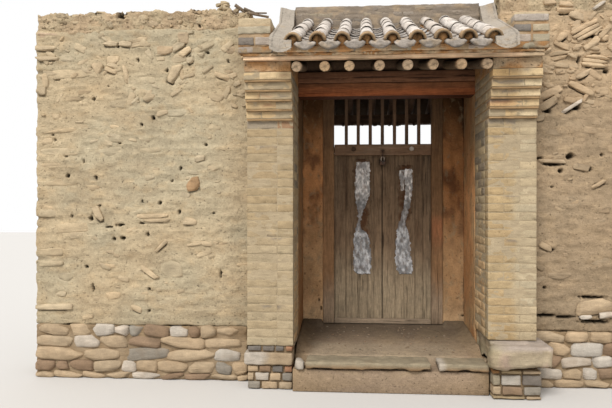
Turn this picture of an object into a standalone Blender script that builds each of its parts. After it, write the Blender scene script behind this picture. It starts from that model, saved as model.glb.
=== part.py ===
"""Village courtyard gateway: two brick piers under a small tiled roof, a plank door deep in the
passage behind them, and a length of mud-plastered stone wall on either side.

Units are metres. X runs along the wall to the right, Y runs into the courtyard and Z is up. The
origin lies on the ground-level base, midway between the piers, in the plane of their front faces.
"""

import math
import random

import bmesh
import bpy
from mathutils import Matrix, Vector

# Clearances
GAP = 0.0003
SWING_GAP = 0.0053
PIN_GAP = 0.002

# Piers and passage
PASSAGE_HALF = 0.882
PIER_WIDTH = 0.428
PIER_DEPTH = 0.58
LEFT_BRICK_BASE = 0.40
RIGHT_BRICK_BASE = 0.484
SHAFT_TOP = 2.48
CORBEL_COURSES = 5
CORBEL_COURSE = 0.082
CORBEL_STEP = 0.038
MUD_BLOCK = 0.095
SHOULDER_RISE = 0.375
DOOR_SETBACK = 0.61
PASSAGE_BEHIND_DOOR = 0.81

# Courtyard walls
WALL_HALF_LENGTH = 3.47
WALL_FRONT = 0.25
WALL_THICKNESS = 0.6
WALL_FOOTING_HEIGHT = 0.52
FOOTING_PROUD = 0.03
LEFT_WALL_RISE = 0.06
RIGHT_WALL_RISE = 0.16
LEFT_CAP_HEIGHT = 0.2
RIGHT_CAP_HEIGHT = 0.23
CAP_RAGGED = 0.035
CAP_STEP = 0.12
CAP_INSET = 0.02
NIB_OUTER = 0.38
NIB_INNER = 0.24
NIB_RISE = 0.12

# Pier footings and the stones under them
PIER_COURSE_DEPTH = 0.07
LONG_STONE_THICKNESS = 0.11
LONG_STONE_PROUD = 0.035
BOULDER_THICKNESS = 0.225
BOULDER_PROUD = 0.27
BOULDER_OUTER_LAP = 0.095
BOULDER_INNER_LAP = 0.042
BOULDER_ROUND = 0.05

# Porch floor and its edge slabs
LEDGE_PROUD = 0.06
LEDGE_DEPTH = 0.24
LEDGE_HEIGHT = 0.21
PORCH_FRONT_HEIGHT = 0.29
PORCH_REAR_HEIGHT = 0.385
REAR_FLOOR_HEIGHT = 0.33
SLAB_THICKNESS = 0.075
SLAB_OVERHANG = 0.04
SLAB_ROUND = 0.018
CORNER_STONE_WIDTH = 0.112
LEFT_SLAB_END = 0.37
SLAB_JOINT = 0.06

# Door frame
FRAME_DEPTH = 0.07
DOOR_HALF = 0.533
POST_WIDTH = 0.127
SILL_HEIGHT = 0.053
RAIL_BOTTOM = 2.25
RAIL_HEIGHT = 0.125
HEAD_HEIGHT = 0.075
BAR_COUNT = 7
BAR_WIDTH = 0.039
BAR_BITE = 0.02
INFILL_PROUD = 0.02

# Door leaves and their pivots
LEAF_THICKNESS = 0.045
LEAF_LAP = 0.028
LEAF_FLOOR_GAP = 0.025
LEAF_MEETING_GAP = 0.005
PIVOT_INSET = 0.027
PIVOT_RADIUS = 0.016
PIVOT_LENGTH = 0.05
PIVOT_RAIL_HEIGHT = 0.07
PIVOT_RAIL_DEPTH = 0.09
PIVOT_STONE_SIZE = 0.18
PIVOT_STONE_DEPTH = 0.13
BATTEN_END_HEIGHT = 0.21
BATTEN_WIDTH = 0.09
BATTEN_THICKNESS = 0.03
BATTEN_INSET = 0.06
PEG_OFFSET = 0.318
PEG_RADIUS = 0.026
PEG_PROUD = 0.022

# Lock hung on a staple in the rail
STAPLE_WIRE = 0.0055
STAPLE_HALF = 0.016
STAPLE_PROUD = 0.035
STAPLE_BITE = 0.03
LINK_WIRE = 0.0045
LINK_HALF = 0.016
LINK_LENGTH = 0.085
LOCK_WIDTH = 0.062
LOCK_HEIGHT = 0.05
LOCK_DEPTH = 0.022
SHACKLE_WIRE = 0.0045
SHACKLE_HALF = 0.016
SHACKLE_HEIGHT = 0.034
SHACKLE_BITE = 0.008

# Lintels, rafters and purlin
LINTEL_BEARING = 0.12
LINTEL_DEPTH = 0.22
LINTEL_DROP = 0.185
LOWER_LINTEL_HEIGHT = 0.135
UPPER_LINTEL_HEIGHT = 0.1165
RAFTER_RADIUS = 0.0475
RAFTER_SIDE_GAP = 0.0025
RAFTER_SHARES = (-1.0, -0.7, -0.438, -0.118, 0.177, 0.442, 0.736, 1.0)
RAFTER_TAIL = 0.045
RAFTER_INSET = 0.01
PURLIN_SETBACK = 0.14
REAR_PLATE_DEPTH = 0.12
REAR_PLATE_HEIGHT = 0.12
REAR_PLATE_INSET = 0.02
NOTCH = 0.006

# Eave band
EAVE_PROUD = 0.235
EAVE_BOARD_DEPTH = 0.06
EAVE_BOARD = 0.035
EAVE_LATH = 0.025
EAVE_LATH_PROUD = 0.01
EAVE_BRICK = 0.055
EAVE_BRICK_PROUD = 0.03
EAVE_BRICK_DEPTH = 0.135
EAVE_BRICK_LAP = 0.04
END_BLOCK_INSET = 0.015

# Roof
TILE_OVERHANG = 0.135
PAN_SEAT = 0.0065
FRONT_PITCH = math.radians(22.5)
REAR_PITCH = math.radians(19.5)
REAR_OVERHANG = 0.3
REAR_BED_OVERHANG = 0.22
RIDGE_SETBACK = 0.01
RIDGE_THICKNESS = 0.28
RIDGE_RISE = 0.22
RIDGE_BATTER = 0.03
REAR_BED = 0.075
TILE_PITCH = 0.2044
TILE_ROWS = 10
TILE_HEIGHT = 0.118
TILE_THICKNESS = 0.022
TILE_WAVE_STEPS = 8
VERGE_WIDTH = 0.115
VERGE_PROUD = 0.028
VERGE_HEIGHT = 0.15
VERGE_EAVE_INSET = 0.02

# Values that follow from the sizes above
PIER_OUTER = PASSAGE_HALF + PIER_WIDTH
NIB_LEFT = -PIER_OUTER - NIB_OUTER
NIB_RIGHT = -PIER_OUTER - NIB_INNER
LEDGE_FRONT = -LEDGE_PROUD
LEDGE_REAR = LEDGE_FRONT + LEDGE_DEPTH
SLAB_FRONT = LEDGE_FRONT - SLAB_OVERHANG
LEFT_SLAB_START = -PASSAGE_HALF + CORNER_STONE_WIDTH
RIGHT_SLAB_START = LEFT_SLAB_END + SLAB_JOINT
BOULDER_FRONT = -BOULDER_PROUD
BOULDER_OUTER = PIER_OUTER + BOULDER_OUTER_LAP
BOULDER_INNER = PASSAGE_HALF - BOULDER_INNER_LAP
CORBEL_TOP = SHAFT_TOP + CORBEL_COURSES * CORBEL_COURSE
CORBEL_FRONT = -CORBEL_COURSES * CORBEL_STEP
PIER_TOP = CORBEL_TOP + MUD_BLOCK
SHOULDER_TOP = PIER_TOP + SHOULDER_RISE
LEFT_WALL_TOP = SHOULDER_TOP + LEFT_WALL_RISE
RIGHT_WALL_TOP = SHOULDER_TOP + RIGHT_WALL_RISE
NIB_TOP = LEFT_WALL_TOP + LEFT_CAP_HEIGHT + NIB_RISE
FRAME_FRONT = PIER_DEPTH + DOOR_SETBACK
FRAME_REAR = FRAME_FRONT + FRAME_DEPTH
PASSAGE_REAR = FRAME_FRONT + PASSAGE_BEHIND_DOOR
EAVE_FRONT = -EAVE_PROUD
BOARD_BOTTOM = PIER_TOP + GAP
LATH_BOTTOM = BOARD_BOTTOM + EAVE_BOARD + GAP
BRICK_BOTTOM = LATH_BOTTOM + EAVE_LATH + GAP
BRICK_TOP = BRICK_BOTTOM + EAVE_BRICK
BRICK_FRONT = EAVE_FRONT - EAVE_BRICK_PROUD
EAVE_BRICK_REACH = PIER_OUTER + EAVE_BRICK_LAP
END_BLOCK_FRONT = BRICK_FRONT + END_BLOCK_INSET
EAVE_BAND_REAR = BRICK_FRONT + EAVE_BRICK_DEPTH
LOWER_LINTEL_BOTTOM = PIER_TOP - LINTEL_DROP
UPPER_LINTEL_BOTTOM = LOWER_LINTEL_BOTTOM + LOWER_LINTEL_HEIGHT + GAP
UPPER_LINTEL_TOP = UPPER_LINTEL_BOTTOM + UPPER_LINTEL_HEIGHT
LINTEL_FRONT = PIER_DEPTH + GAP
LINTEL_HALF = PASSAGE_HALF + LINTEL_BEARING
POST_OUTER = DOOR_HALF + POST_WIDTH
LEAF_FRONT = FRAME_REAR + SWING_GAP
LEAF_REAR = LEAF_FRONT + LEAF_THICKNESS
LEAF_BOTTOM = PORCH_REAR_HEIGHT + LEAF_FLOOR_GAP
LEAF_TOP = RAIL_BOTTOM + LEAF_LAP
PIVOT_PLACE = DOOR_HALF + PIVOT_INSET
PIVOT_AXIS_Y = LEAF_FRONT + LEAF_THICKNESS / 2
PIVOT_RAIL_BOTTOM = LEAF_TOP + SWING_GAP
PEG_PLACE = PIVOT_RAIL_BOTTOM + PIVOT_RAIL_HEIGHT / 2
BATTEN_LOW = LEAF_BOTTOM + BATTEN_END_HEIGHT
BATTEN_HIGH = LEAF_TOP - BATTEN_END_HEIGHT
BATTEN_HEIGHTS = (BATTEN_LOW, (BATTEN_LOW + BATTEN_HIGH) / 2, BATTEN_HIGH)
TILE_FIELD_HALF = TILE_PITCH * TILE_ROWS / 2
ROOF_HALF = TILE_FIELD_HALF + VERGE_PROUD
VERGE_INNER = TILE_FIELD_HALF - VERGE_WIDTH
RAFTER_HALF = PASSAGE_HALF - RAFTER_RADIUS - RAFTER_SIDE_GAP
RAFTER_PLACES = tuple(share * RAFTER_HALF for share in RAFTER_SHARES)
RAFTER_FRONT = EAVE_FRONT + RAFTER_INSET
RAFTER_REAR = PIER_DEPTH + RAFTER_TAIL
RAFTER_CONTACT_FRONT = Vector((EAVE_FRONT + EAVE_BOARD_DEPTH, BOARD_BOTTOM - GAP))
RAFTER_CONTACT_REAR = Vector((LINTEL_FRONT, UPPER_LINTEL_TOP + GAP))
RAFTER_MIDDLE = (RAFTER_CONTACT_FRONT + RAFTER_CONTACT_REAR) / 2
RAFTER_SPAN = RAFTER_CONTACT_REAR - RAFTER_CONTACT_FRONT
RAFTER_PITCH = math.atan2(RAFTER_SPAN.y, RAFTER_SPAN.x) + math.asin(2 * RAFTER_RADIUS / RAFTER_SPAN.length)
EAVE_EDGE = BRICK_FRONT - TILE_OVERHANG
EAVE_PAN_BOTTOM = BRICK_TOP + PAN_SEAT - TILE_OVERHANG * math.tan(FRONT_PITCH)
RIDGE_CENTRE = PIER_DEPTH + RIDGE_SETBACK
RIDGE_FRONT = RIDGE_CENTRE - RIDGE_THICKNESS / 2
RIDGE_REAR = RIDGE_CENTRE + RIDGE_THICKNESS / 2
RIDGE_FOOT = EAVE_PAN_BOTTOM + (RIDGE_CENTRE - EAVE_EDGE) * math.tan(FRONT_PITCH)
RIDGE_TOP = RIDGE_FOOT + RIDGE_RISE
REAR_EDGE = PASSAGE_REAR + REAR_OVERHANG
REAR_BED_END = PASSAGE_REAR + REAR_BED_OVERHANG
REAR_PAN_BOTTOM = RIDGE_FOOT - (REAR_EDGE - RIDGE_CENTRE) * math.tan(REAR_PITCH)
REAR_RAFTER_START = RIDGE_CENTRE + RAFTER_RADIUS * math.sin(REAR_PITCH) + 2 * GAP
PURLIN_PLACE = PIER_DEPTH + PURLIN_SETBACK

# Directions of an outline's own axes in the world: across, up, and the way it is extruded
ALONG_X = Matrix(((0, 0, 1), (1, 0, 0), (0, 1, 0)))
ALONG_Y = Matrix(((1, 0, 0), (0, 0, -1), (0, 1, 0)))


def front_roof_line(y):
    """Height of the underside of the front tiles."""
    return EAVE_PAN_BOTTOM + (y - EAVE_EDGE) * math.tan(FRONT_PITCH)


def rear_roof_line(y):
    """Height of the underside of the rear tiles."""
    return RIDGE_FOOT - (y - RIDGE_CENTRE) * math.tan(REAR_PITCH)


def rafter_line(y):
    """Height of a front rafter's centre."""
    return RAFTER_MIDDLE.y + (y - RAFTER_MIDDLE.x) * math.tan(RAFTER_PITCH)


def rafter_top_line(y):
    """Height of the underside of the mud bed that lies on the front rafters."""
    return rafter_line(y) + (RAFTER_RADIUS + GAP) / math.cos(RAFTER_PITCH)


def rear_bed_line(y):
    """Height of the underside of the rear mud bed."""
    return rear_roof_line(y) - REAR_BED


def rear_rafter_line(y):
    """Height of a rear rafter's centre."""
    return rear_bed_line(y) - (RAFTER_RADIUS + GAP) / math.cos(REAR_PITCH)


def rear_rafter_foot_line(y):
    """Height of the underside of the rear rafters."""
    return rear_rafter_line(y) - (RAFTER_RADIUS + GAP) / math.cos(REAR_PITCH)


def head_top():
    """Height of the top of the door frame, where the rear rafters rest on it."""
    return rear_rafter_foot_line(FRAME_REAR) - GAP


def head_bottom():
    """Height of the top of the barred light."""
    return head_top() - HEAD_HEIGHT


def clear_scene():
    for obj in list(bpy.data.objects):
        bpy.data.objects.remove(obj, do_unlink=True)


def new_collection(name):
    collection = bpy.data.collections.new(name)
    bpy.context.scene.collection.children.link(collection)
    return collection


def material(name, colour, roughness, metallic=0.0):
    made = bpy.data.materials.get(name)
    if made:
        return made
    made = bpy.data.materials.new(name)
    made.use_nodes = True
    shader = made.node_tree.nodes["Principled BSDF"]
    shader.inputs["Base Color"].default_value = (*colour, 1.0)
    shader.inputs["Roughness"].default_value = roughness
    shader.inputs["Metallic"].default_value = metallic
    return made


def mud_plaster():
    return material("mud_plaster", (0.56, 0.43, 0.27), 0.95)


def adobe():
    return material("adobe", (0.45, 0.34, 0.21), 0.97)


def field_stone():
    return material("field_stone", (0.55, 0.46, 0.35), 0.9)


def yellow_brick():
    return material("yellow_brick", (0.62, 0.49, 0.28), 0.92)


def grey_brick():
    return material("grey_brick", (0.42, 0.38, 0.32), 0.92)


def stained_plaster():
    return material("stained_plaster", (0.3, 0.18, 0.09), 0.95)


def packed_earth():
    return material("packed_earth", (0.4, 0.29, 0.2), 0.98)


def door_wood():
    return material("door_wood", (0.27, 0.2, 0.13), 0.85)


def dark_wood():
    return material("dark_wood", (0.13, 0.075, 0.045), 0.8)


def red_wood():
    return material("red_wood", (0.2, 0.075, 0.035), 0.8)


def pale_wood():
    return material("pale_wood", (0.55, 0.42, 0.3), 0.85)


def roof_tile():
    return material("roof_tile", (0.55, 0.5, 0.44), 0.9)


def lime_plaster():
    return material("lime_plaster", (0.66, 0.61, 0.53), 0.93)


def iron():
    return material("iron", (0.06, 0.045, 0.04), 0.6, 0.8)


def add_object(name, data, surface, collection):
    obj = bpy.data.objects.new(name, data)
    collection.objects.link(obj)
    data.materials.append(surface)
    return obj


def box(name, low, high, surface, collection, rounding=0.0, segments=1):
    """A block between two corners, with its origin at its middle."""
    low = Vector(low)
    high = Vector(high)
    shape = bmesh.new()
    bmesh.ops.create_cube(shape, size=1.0, matrix=Matrix.Diagonal((*(high - low), 1.0)))
    mesh = bpy.data.meshes.new(name)
    shape.to_mesh(mesh)
    shape.free()
    obj = add_object(name, mesh, surface, collection)
    obj.location = (low + high) / 2
    if rounding:
        bevel = obj.modifiers.new("rounded_edges", "BEVEL")
        bevel.width = rounding
        bevel.segments = segments
        bevel.limit_method = "NONE"
    return obj


def outline(name, points, directions, start, end, surface, collection):
    """A closed outline extruded from start to end along the third of its directions."""
    curve = bpy.data.curves.new(name + "_outline", "CURVE")
    curve.dimensions = "2D"
    curve.fill_mode = "BOTH"
    curve.extrude = abs(end - start) / 2
    spline = curve.splines.new("POLY")
    spline.points.add(len(points) - 1)
    for point, (across, up) in zip(spline.points, points):
        point.co = (across, up, 0.0, 1.0)
    spline.use_cyclic_u = True
    middle = directions @ Vector((0, 0, (start + end) / 2))
    place = Matrix.Translation(middle) @ directions.to_4x4()
    return solid_from_curve(name, curve, place, surface, collection)


def solid_from_curve(name, curve, place, surface, collection):
    """The welded mesh of a curve, with the curve's place."""
    guide = bpy.data.objects.new(name + "_guide", curve)
    bpy.context.scene.collection.objects.link(guide)
    guide.matrix_world = place
    graph = bpy.context.evaluated_depsgraph_get()
    mesh = bpy.data.meshes.new_from_object(guide.evaluated_get(graph))
    shape = bmesh.new()
    shape.from_mesh(mesh)
    bmesh.ops.remove_doubles(shape, verts=shape.verts, dist=0.00005)
    bmesh.ops.recalc_face_normals(shape, faces=shape.faces)
    shape.to_mesh(mesh)
    shape.free()
    mesh.name = name
    mesh.materials.clear()
    obj = add_object(name, mesh, surface, collection)
    obj.matrix_world = place
    bpy.data.objects.remove(guide, do_unlink=True)
    return obj


def log(name, start, end, radius, surface, collection, segments=16):
    """A round timber between the centres of its two ends."""
    start = Vector(start)
    end = Vector(end)
    shape = bmesh.new()
    bmesh.ops.create_cone(
        shape,
        cap_ends=True,
        segments=segments,
        radius1=radius,
        radius2=radius,
        depth=(end - start).length,
    )
    mesh = bpy.data.meshes.new(name)
    shape.to_mesh(mesh)
    shape.free()
    obj = add_object(name, mesh, surface, collection)
    mesh.shade_smooth()
    mesh.set_sharp_from_angle(angle=math.radians(40))
    turn = Vector((0, 0, 1)).rotation_difference(end - start)
    obj.rotation_euler = turn.to_euler()
    obj.location = (start + end) / 2
    return obj


def wire(name, points, radius, surface, collection, closed=False):
    """A bent round bar with filled caps."""
    curve = bpy.data.curves.new(name + "_path", "CURVE")
    curve.dimensions = "3D"
    curve.bevel_depth = radius
    curve.bevel_resolution = 2
    curve.use_fill_caps = not closed
    spline = curve.splines.new("POLY")
    spline.points.add(len(points) - 1)
    for point, place in zip(spline.points, points):
        point.co = (*place, 1.0)
    spline.use_cyclic_u = closed
    return solid_from_curve(name, curve, Matrix.Identity(4), surface, collection)


def half_circle(centre, radius, first_angle, steps):
    """Points round half a circle in the X and Z directions."""
    places = []
    for step in range(steps + 1):
        angle = first_angle + math.pi * step / steps
        across = radius * math.cos(angle)
        up = radius * math.sin(angle)
        places.append((centre[0] + across, centre[1], centre[2] + up))
    return places


def as_cutter(obj, cutters):
    for collection in list(obj.users_collection):
        collection.objects.unlink(obj)
    cutters.objects.link(obj)
    obj.hide_render = True
    obj.display_type = "WIRE"
    return obj


def combine(obj, other, operation, cutters):
    """Cut or join another solid with this one."""
    as_cutter(other, cutters)
    boolean = obj.modifiers.new(operation.lower(), "BOOLEAN")
    boolean.operation = operation
    boolean.solver = "EXACT"
    boolean.object = other


def ragged_line(start, end, level, amount, step, seed):
    """Points of a broken mud edge between two places, left to right."""
    chance = random.Random(seed)
    count = max(2, round((end - start) / step))
    points = []
    for index in range(count + 1):
        across = start + (end - start) * index / count
        if 0 < index < count:
            across += chance.uniform(-0.25, 0.25) * step
        points.append((across, level + chance.uniform(-amount, amount)))
    return points


def mirrored(side, low, high):
    """The span of a size on the left (-1) or right (+1) side, lowest first."""
    return (low, high) if side > 0 else (-high, -low)


def courtyard_walls(parts):
    rear = WALL_FRONT + WALL_THICKNESS
    inner = PIER_OUTER + GAP
    wall_bottom = WALL_FOOTING_HEIGHT + GAP
    left_wall = [
        (-WALL_HALF_LENGTH, wall_bottom),
        (-inner, wall_bottom),
        (-inner, LEFT_WALL_TOP),
        (-WALL_HALF_LENGTH, LEFT_WALL_TOP),
    ]
    outline("left_wall", left_wall, ALONG_Y, -WALL_FRONT, -rear, mud_plaster(), parts)
    shoulder = ROOF_HALF + GAP
    right_wall = [
        (inner, wall_bottom),
        (WALL_HALF_LENGTH, wall_bottom),
        (WALL_HALF_LENGTH, RIGHT_WALL_TOP),
        (shoulder, RIGHT_WALL_TOP),
        (shoulder, SHOULDER_TOP + GAP),
        (inner, SHOULDER_TOP + GAP),
    ]
    outline("right_wall", right_wall, ALONG_Y, -WALL_FRONT, -rear, mud_plaster(), parts)
    for side, name in ((-1, "left"), (1, "right")):
        across = mirrored(side, inner + FOOTING_PROUD, WALL_HALF_LENGTH)
        low = (across[0], WALL_FRONT - FOOTING_PROUD, 0.0)
        high = (across[1], rear + FOOTING_PROUD, WALL_FOOTING_HEIGHT)
        box(name + "_wall_footing", low, high, field_stone(), parts)


def wall_caps(parts):
    rear = WALL_FRONT + WALL_THICKNESS - CAP_INSET
    front = WALL_FRONT + CAP_INSET
    left_bottom = LEFT_WALL_TOP + GAP
    left_level = left_bottom + LEFT_CAP_HEIGHT - CAP_RAGGED
    left_end = -PIER_OUTER - CAP_INSET
    before = ragged_line(-WALL_HALF_LENGTH + CAP_INSET, NIB_LEFT, left_level, CAP_RAGGED, CAP_STEP, 3)
    after = ragged_line(NIB_RIGHT, left_end, left_level, CAP_RAGGED, CAP_STEP, 4)
    nib = [(NIB_LEFT, NIB_TOP), (NIB_RIGHT, NIB_TOP)]
    top = before + nib + after
    left_cap = [(top[-1][0], left_bottom)] + top[::-1] + [(top[0][0], left_bottom)]
    outline("left_wall_cap", left_cap, ALONG_Y, -front, -rear, adobe(), parts)
    right_bottom = RIGHT_WALL_TOP + GAP
    right_level = right_bottom + RIGHT_CAP_HEIGHT - CAP_RAGGED
    right_start = ROOF_HALF + CAP_INSET
    top = ragged_line(right_start, WALL_HALF_LENGTH - CAP_INSET, right_level, CAP_RAGGED, CAP_STEP, 5)
    right_cap = [(top[-1][0], right_bottom)] + top[::-1] + [(top[0][0], right_bottom)]
    outline("right_wall_cap", right_cap, ALONG_Y, -front, -rear, adobe(), parts)


def pier_outline(brick_base):
    """The side of a pier: shaft, corbelled courses, mud block, and the fill behind the eave."""
    points = [(0.0, brick_base), (PIER_DEPTH, brick_base)]
    fill_start = EAVE_BAND_REAR + GAP
    points.append((PIER_DEPTH, rafter_top_line(PIER_DEPTH) - GAP))
    points.append((fill_start, rafter_top_line(fill_start) - GAP))
    points.append((fill_start, PIER_TOP))
    points.append((CORBEL_FRONT, PIER_TOP))
    for course in range(CORBEL_COURSES, 0, -1):
        front = -course * CORBEL_STEP
        foot = SHAFT_TOP + (course - 1) * CORBEL_COURSE
        points.append((front, foot))
        points.append((front + CORBEL_STEP, foot))
    return points[:-1] + [(0.0, SHAFT_TOP)]


def piers(parts):
    for side, name, base in ((-1, "left", LEFT_BRICK_BASE), (1, "right", RIGHT_BRICK_BASE)):
        start, end = mirrored(side, PASSAGE_HALF, PIER_OUTER)
        outline(name + "_pier", pier_outline(base + GAP), ALONG_X, start, end, yellow_brick(), parts)


def pier_footings(parts, cutters):
    inner = PASSAGE_HALF + GAP
    courses = LEFT_BRICK_BASE - PIER_COURSE_DEPTH
    low = (-PIER_OUTER, 0.0, courses - 2 * SLAB_ROUND)
    high = (-inner, PIER_DEPTH, LEFT_BRICK_BASE)
    footing = box("left_pier_footing", low, high, grey_brick(), parts)
    stone_low = (-PIER_OUTER - FOOTING_PROUD + GAP, -LONG_STONE_PROUD, courses - LONG_STONE_THICKNESS)
    stone_high = (-inner, WALL_FRONT - FOOTING_PROUD - GAP, courses)
    long_stone = box("left_long_stone", stone_low, stone_high, grey_brick(), parts)
    combine(footing, long_stone, "UNION", cutters)
    base_low = (-PIER_OUTER, -LONG_STONE_PROUD / 2, 0.0)
    base_high = (-inner, PIER_DEPTH - GAP, courses - LONG_STONE_THICKNESS / 2)
    foot = box("left_foot_stones", base_low, base_high, grey_brick(), parts)
    combine(footing, foot, "UNION", cutters)

    boulder_bottom = RIGHT_BRICK_BASE - BOULDER_THICKNESS
    low = (inner, BOULDER_FRONT + 2 * BOULDER_ROUND, 0.0)
    high = (PIER_OUTER, PIER_DEPTH, boulder_bottom)
    box("right_pier_footing", low, high, field_stone(), parts)
    low = (inner, LEDGE_FRONT, boulder_bottom + GAP)
    high = (PIER_OUTER, PIER_DEPTH, RIGHT_BRICK_BASE)
    bearing = box("right_pier_boulder", low, high, field_stone(), parts)
    low = (BOULDER_INNER, BOULDER_FRONT, boulder_bottom + GAP)
    high = (BOULDER_OUTER, SLAB_FRONT - GAP, RIGHT_BRICK_BASE - GAP)
    nose = box("boulder_nose", low, high, field_stone(), parts, BOULDER_ROUND, 2)
    combine(bearing, nose, "UNION", cutters)
    low = (PASSAGE_HALF + BOULDER_ROUND, BOULDER_FRONT + BOULDER_ROUND, boulder_bottom + GAP)
    high = (BOULDER_OUTER - BOULDER_ROUND, WALL_FRONT - FOOTING_PROUD - GAP, RIGHT_BRICK_BASE - GAP)
    body = box("boulder_body", low, high, field_stone(), parts)
    combine(bearing, body, "UNION", cutters)


def porch_floor(parts):
    """Rammed floor: a ledge for the edge slabs, the sloping porch, and the passage behind the sill."""
    step = FRAME_REAR + GAP
    points = [
        (LEDGE_FRONT, 0.0),
        (PASSAGE_REAR, 0.0),
        (PASSAGE_REAR, REAR_FLOOR_HEIGHT),
        (step, REAR_FLOOR_HEIGHT),
        (step, PORCH_REAR_HEIGHT),
        (FRAME_FRONT - INFILL_PROUD, PORCH_REAR_HEIGHT),
        (LEDGE_REAR, PORCH_FRONT_HEIGHT),
        (LEDGE_REAR, LEDGE_HEIGHT),
        (LEDGE_FRONT, LEDGE_HEIGHT),
    ]
    half = PASSAGE_HALF - GAP
    outline("porch_floor", points, ALONG_X, -half, half, packed_earth(), parts)
    spans = (
        ("left_edge_slab", LEFT_SLAB_START, LEFT_SLAB_END),
        ("right_edge_slab", RIGHT_SLAB_START, half),
    )
    for name, start, end in spans:
        low = (start, SLAB_FRONT, LEDGE_HEIGHT + GAP)
        high = (end, LEDGE_REAR - GAP, LEDGE_HEIGHT + SLAB_THICKNESS)
        box(name, low, high, field_stone(), parts, SLAB_ROUND)


def passage_outline():
    """The side of a passage wall, its top under the mud beds of the roof."""
    front = PIER_DEPTH + GAP
    bed_joint = RIDGE_CENTRE + GAP
    under_front = rafter_top_line(front) - GAP
    slope_start = RIDGE_CENTRE + (rear_bed_line(RIDGE_CENTRE) - SHOULDER_TOP) / math.tan(REAR_PITCH)
    return [
        (front, 0.0),
        (PASSAGE_REAR, 0.0),
        (PASSAGE_REAR, rear_bed_line(PASSAGE_REAR) - GAP),
        (slope_start, SHOULDER_TOP - GAP),
        (bed_joint, SHOULDER_TOP - GAP),
        (bed_joint, under_front),
        (front, under_front),
    ]


def lintel_span(name, bottom, height, surface, parts, gap=0.0):
    low = (-LINTEL_HALF - gap, LINTEL_FRONT - gap, bottom - gap)
    high = (LINTEL_HALF + gap, LINTEL_FRONT + LINTEL_DEPTH + gap, bottom + height + gap)
    return box(name, low, high, surface, parts)


def rear_plate_span(name, parts, gap=0.0):
    rear = PASSAGE_REAR - REAR_PLATE_INSET
    top = rear_rafter_foot_line(rear) + NOTCH
    low = (-LINTEL_HALF - gap, rear - REAR_PLATE_DEPTH - gap, top - REAR_PLATE_HEIGHT - gap)
    high = (LINTEL_HALF + gap, rear + gap, top + gap)
    return box(name, low, high, dark_wood(), parts)


def passage_walls(parts, cutters):
    for side, name in ((-1, "left"), (1, "right")):
        start, end = mirrored(side, PASSAGE_HALF, PIER_OUTER)
        points = passage_outline()
        wall = outline(name + "_passage_wall", points, ALONG_X, start, end, stained_plaster(), parts)
        height = LOWER_LINTEL_HEIGHT + GAP + UPPER_LINTEL_HEIGHT
        pocket = lintel_span(name + "_lintel_pocket", LOWER_LINTEL_BOTTOM, height, iron(), parts, GAP)
        combine(wall, pocket, "DIFFERENCE", cutters)
        combine(wall, rear_plate_span(name + "_plate_pocket", parts, GAP), "DIFFERENCE", cutters)


def lintels(parts):
    lintel_span("lower_lintel", LOWER_LINTEL_BOTTOM, LOWER_LINTEL_HEIGHT, red_wood(), parts)
    lintel_span("upper_lintel", UPPER_LINTEL_BOTTOM, UPPER_LINTEL_HEIGHT, dark_wood(), parts)


def rafters(parts, cutters):
    ends = ((RAFTER_FRONT, rafter_line(RAFTER_FRONT)), (RAFTER_REAR, rafter_line(RAFTER_REAR)))
    rear = (
        (REAR_RAFTER_START, rear_rafter_line(REAR_RAFTER_START)),
        (REAR_BED_END, rear_rafter_line(REAR_BED_END)),
    )
    for number, across in enumerate(RAFTER_PLACES, 1):
        start, end = ((across, *place) for place in ends)
        log(f"rafter_{number}", start, end, RAFTER_RADIUS, pale_wood(), parts)
    rear_roof_frame(rear, parts, cutters)


def rear_roof_frame(ends, parts, cutters):
    """The purlin on the upper lintel, the rear plate, and the rafters let into both."""
    room = rear_rafter_foot_line(PURLIN_PLACE) + NOTCH - UPPER_LINTEL_TOP - GAP
    radius = room / (1 + 1 / math.cos(REAR_PITCH))
    height = UPPER_LINTEL_TOP + GAP + radius
    half = PASSAGE_HALF - GAP
    start = (-half, PURLIN_PLACE, height)
    end = (half, PURLIN_PLACE, height)
    frame = log("rear_roof_frame", start, end, radius, dark_wood(), parts, 20)
    combine(frame, rear_plate_span("rear_plate", parts), "UNION", cutters)
    for number, across in enumerate(RAFTER_PLACES, 1):
        start, end = ((across, *place) for place in ends)
        rafter = log(f"rear_rafter_{number}", start, end, RAFTER_RADIUS, dark_wood(), parts, 12)
        combine(frame, rafter, "UNION", cutters)


def eave_band(parts):
    low = (-PIER_OUTER, EAVE_FRONT, BOARD_BOTTOM)
    high = (PIER_OUTER, EAVE_FRONT + EAVE_BOARD_DEPTH, BOARD_BOTTOM + EAVE_BOARD)
    box("eave_board", low, high, pale_wood(), parts)
    low = (-PIER_OUTER, EAVE_FRONT - EAVE_LATH_PROUD, LATH_BOTTOM)
    high = (PIER_OUTER, EAVE_BAND_REAR, LATH_BOTTOM + EAVE_LATH)
    box("eave_mud_layer", low, high, mud_plaster(), parts)
    low = (-EAVE_BRICK_REACH, BRICK_FRONT, BRICK_BOTTOM)
    high = (EAVE_BRICK_REACH, EAVE_BAND_REAR, BRICK_TOP)
    box("eave_brick_course", low, high, grey_brick(), parts)


def end_block_outline(rear):
    """The side of an end block as far back as a given place, its foot following the rafters."""
    fill_start = EAVE_BAND_REAR + GAP
    return [
        (END_BLOCK_FRONT, BRICK_TOP + GAP),
        (fill_start, BRICK_TOP + GAP),
        (fill_start, rafter_top_line(fill_start)),
        (rear, rafter_top_line(rear)),
        (rear, SHOULDER_TOP),
        (END_BLOCK_FRONT, SHOULDER_TOP),
    ]


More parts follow.
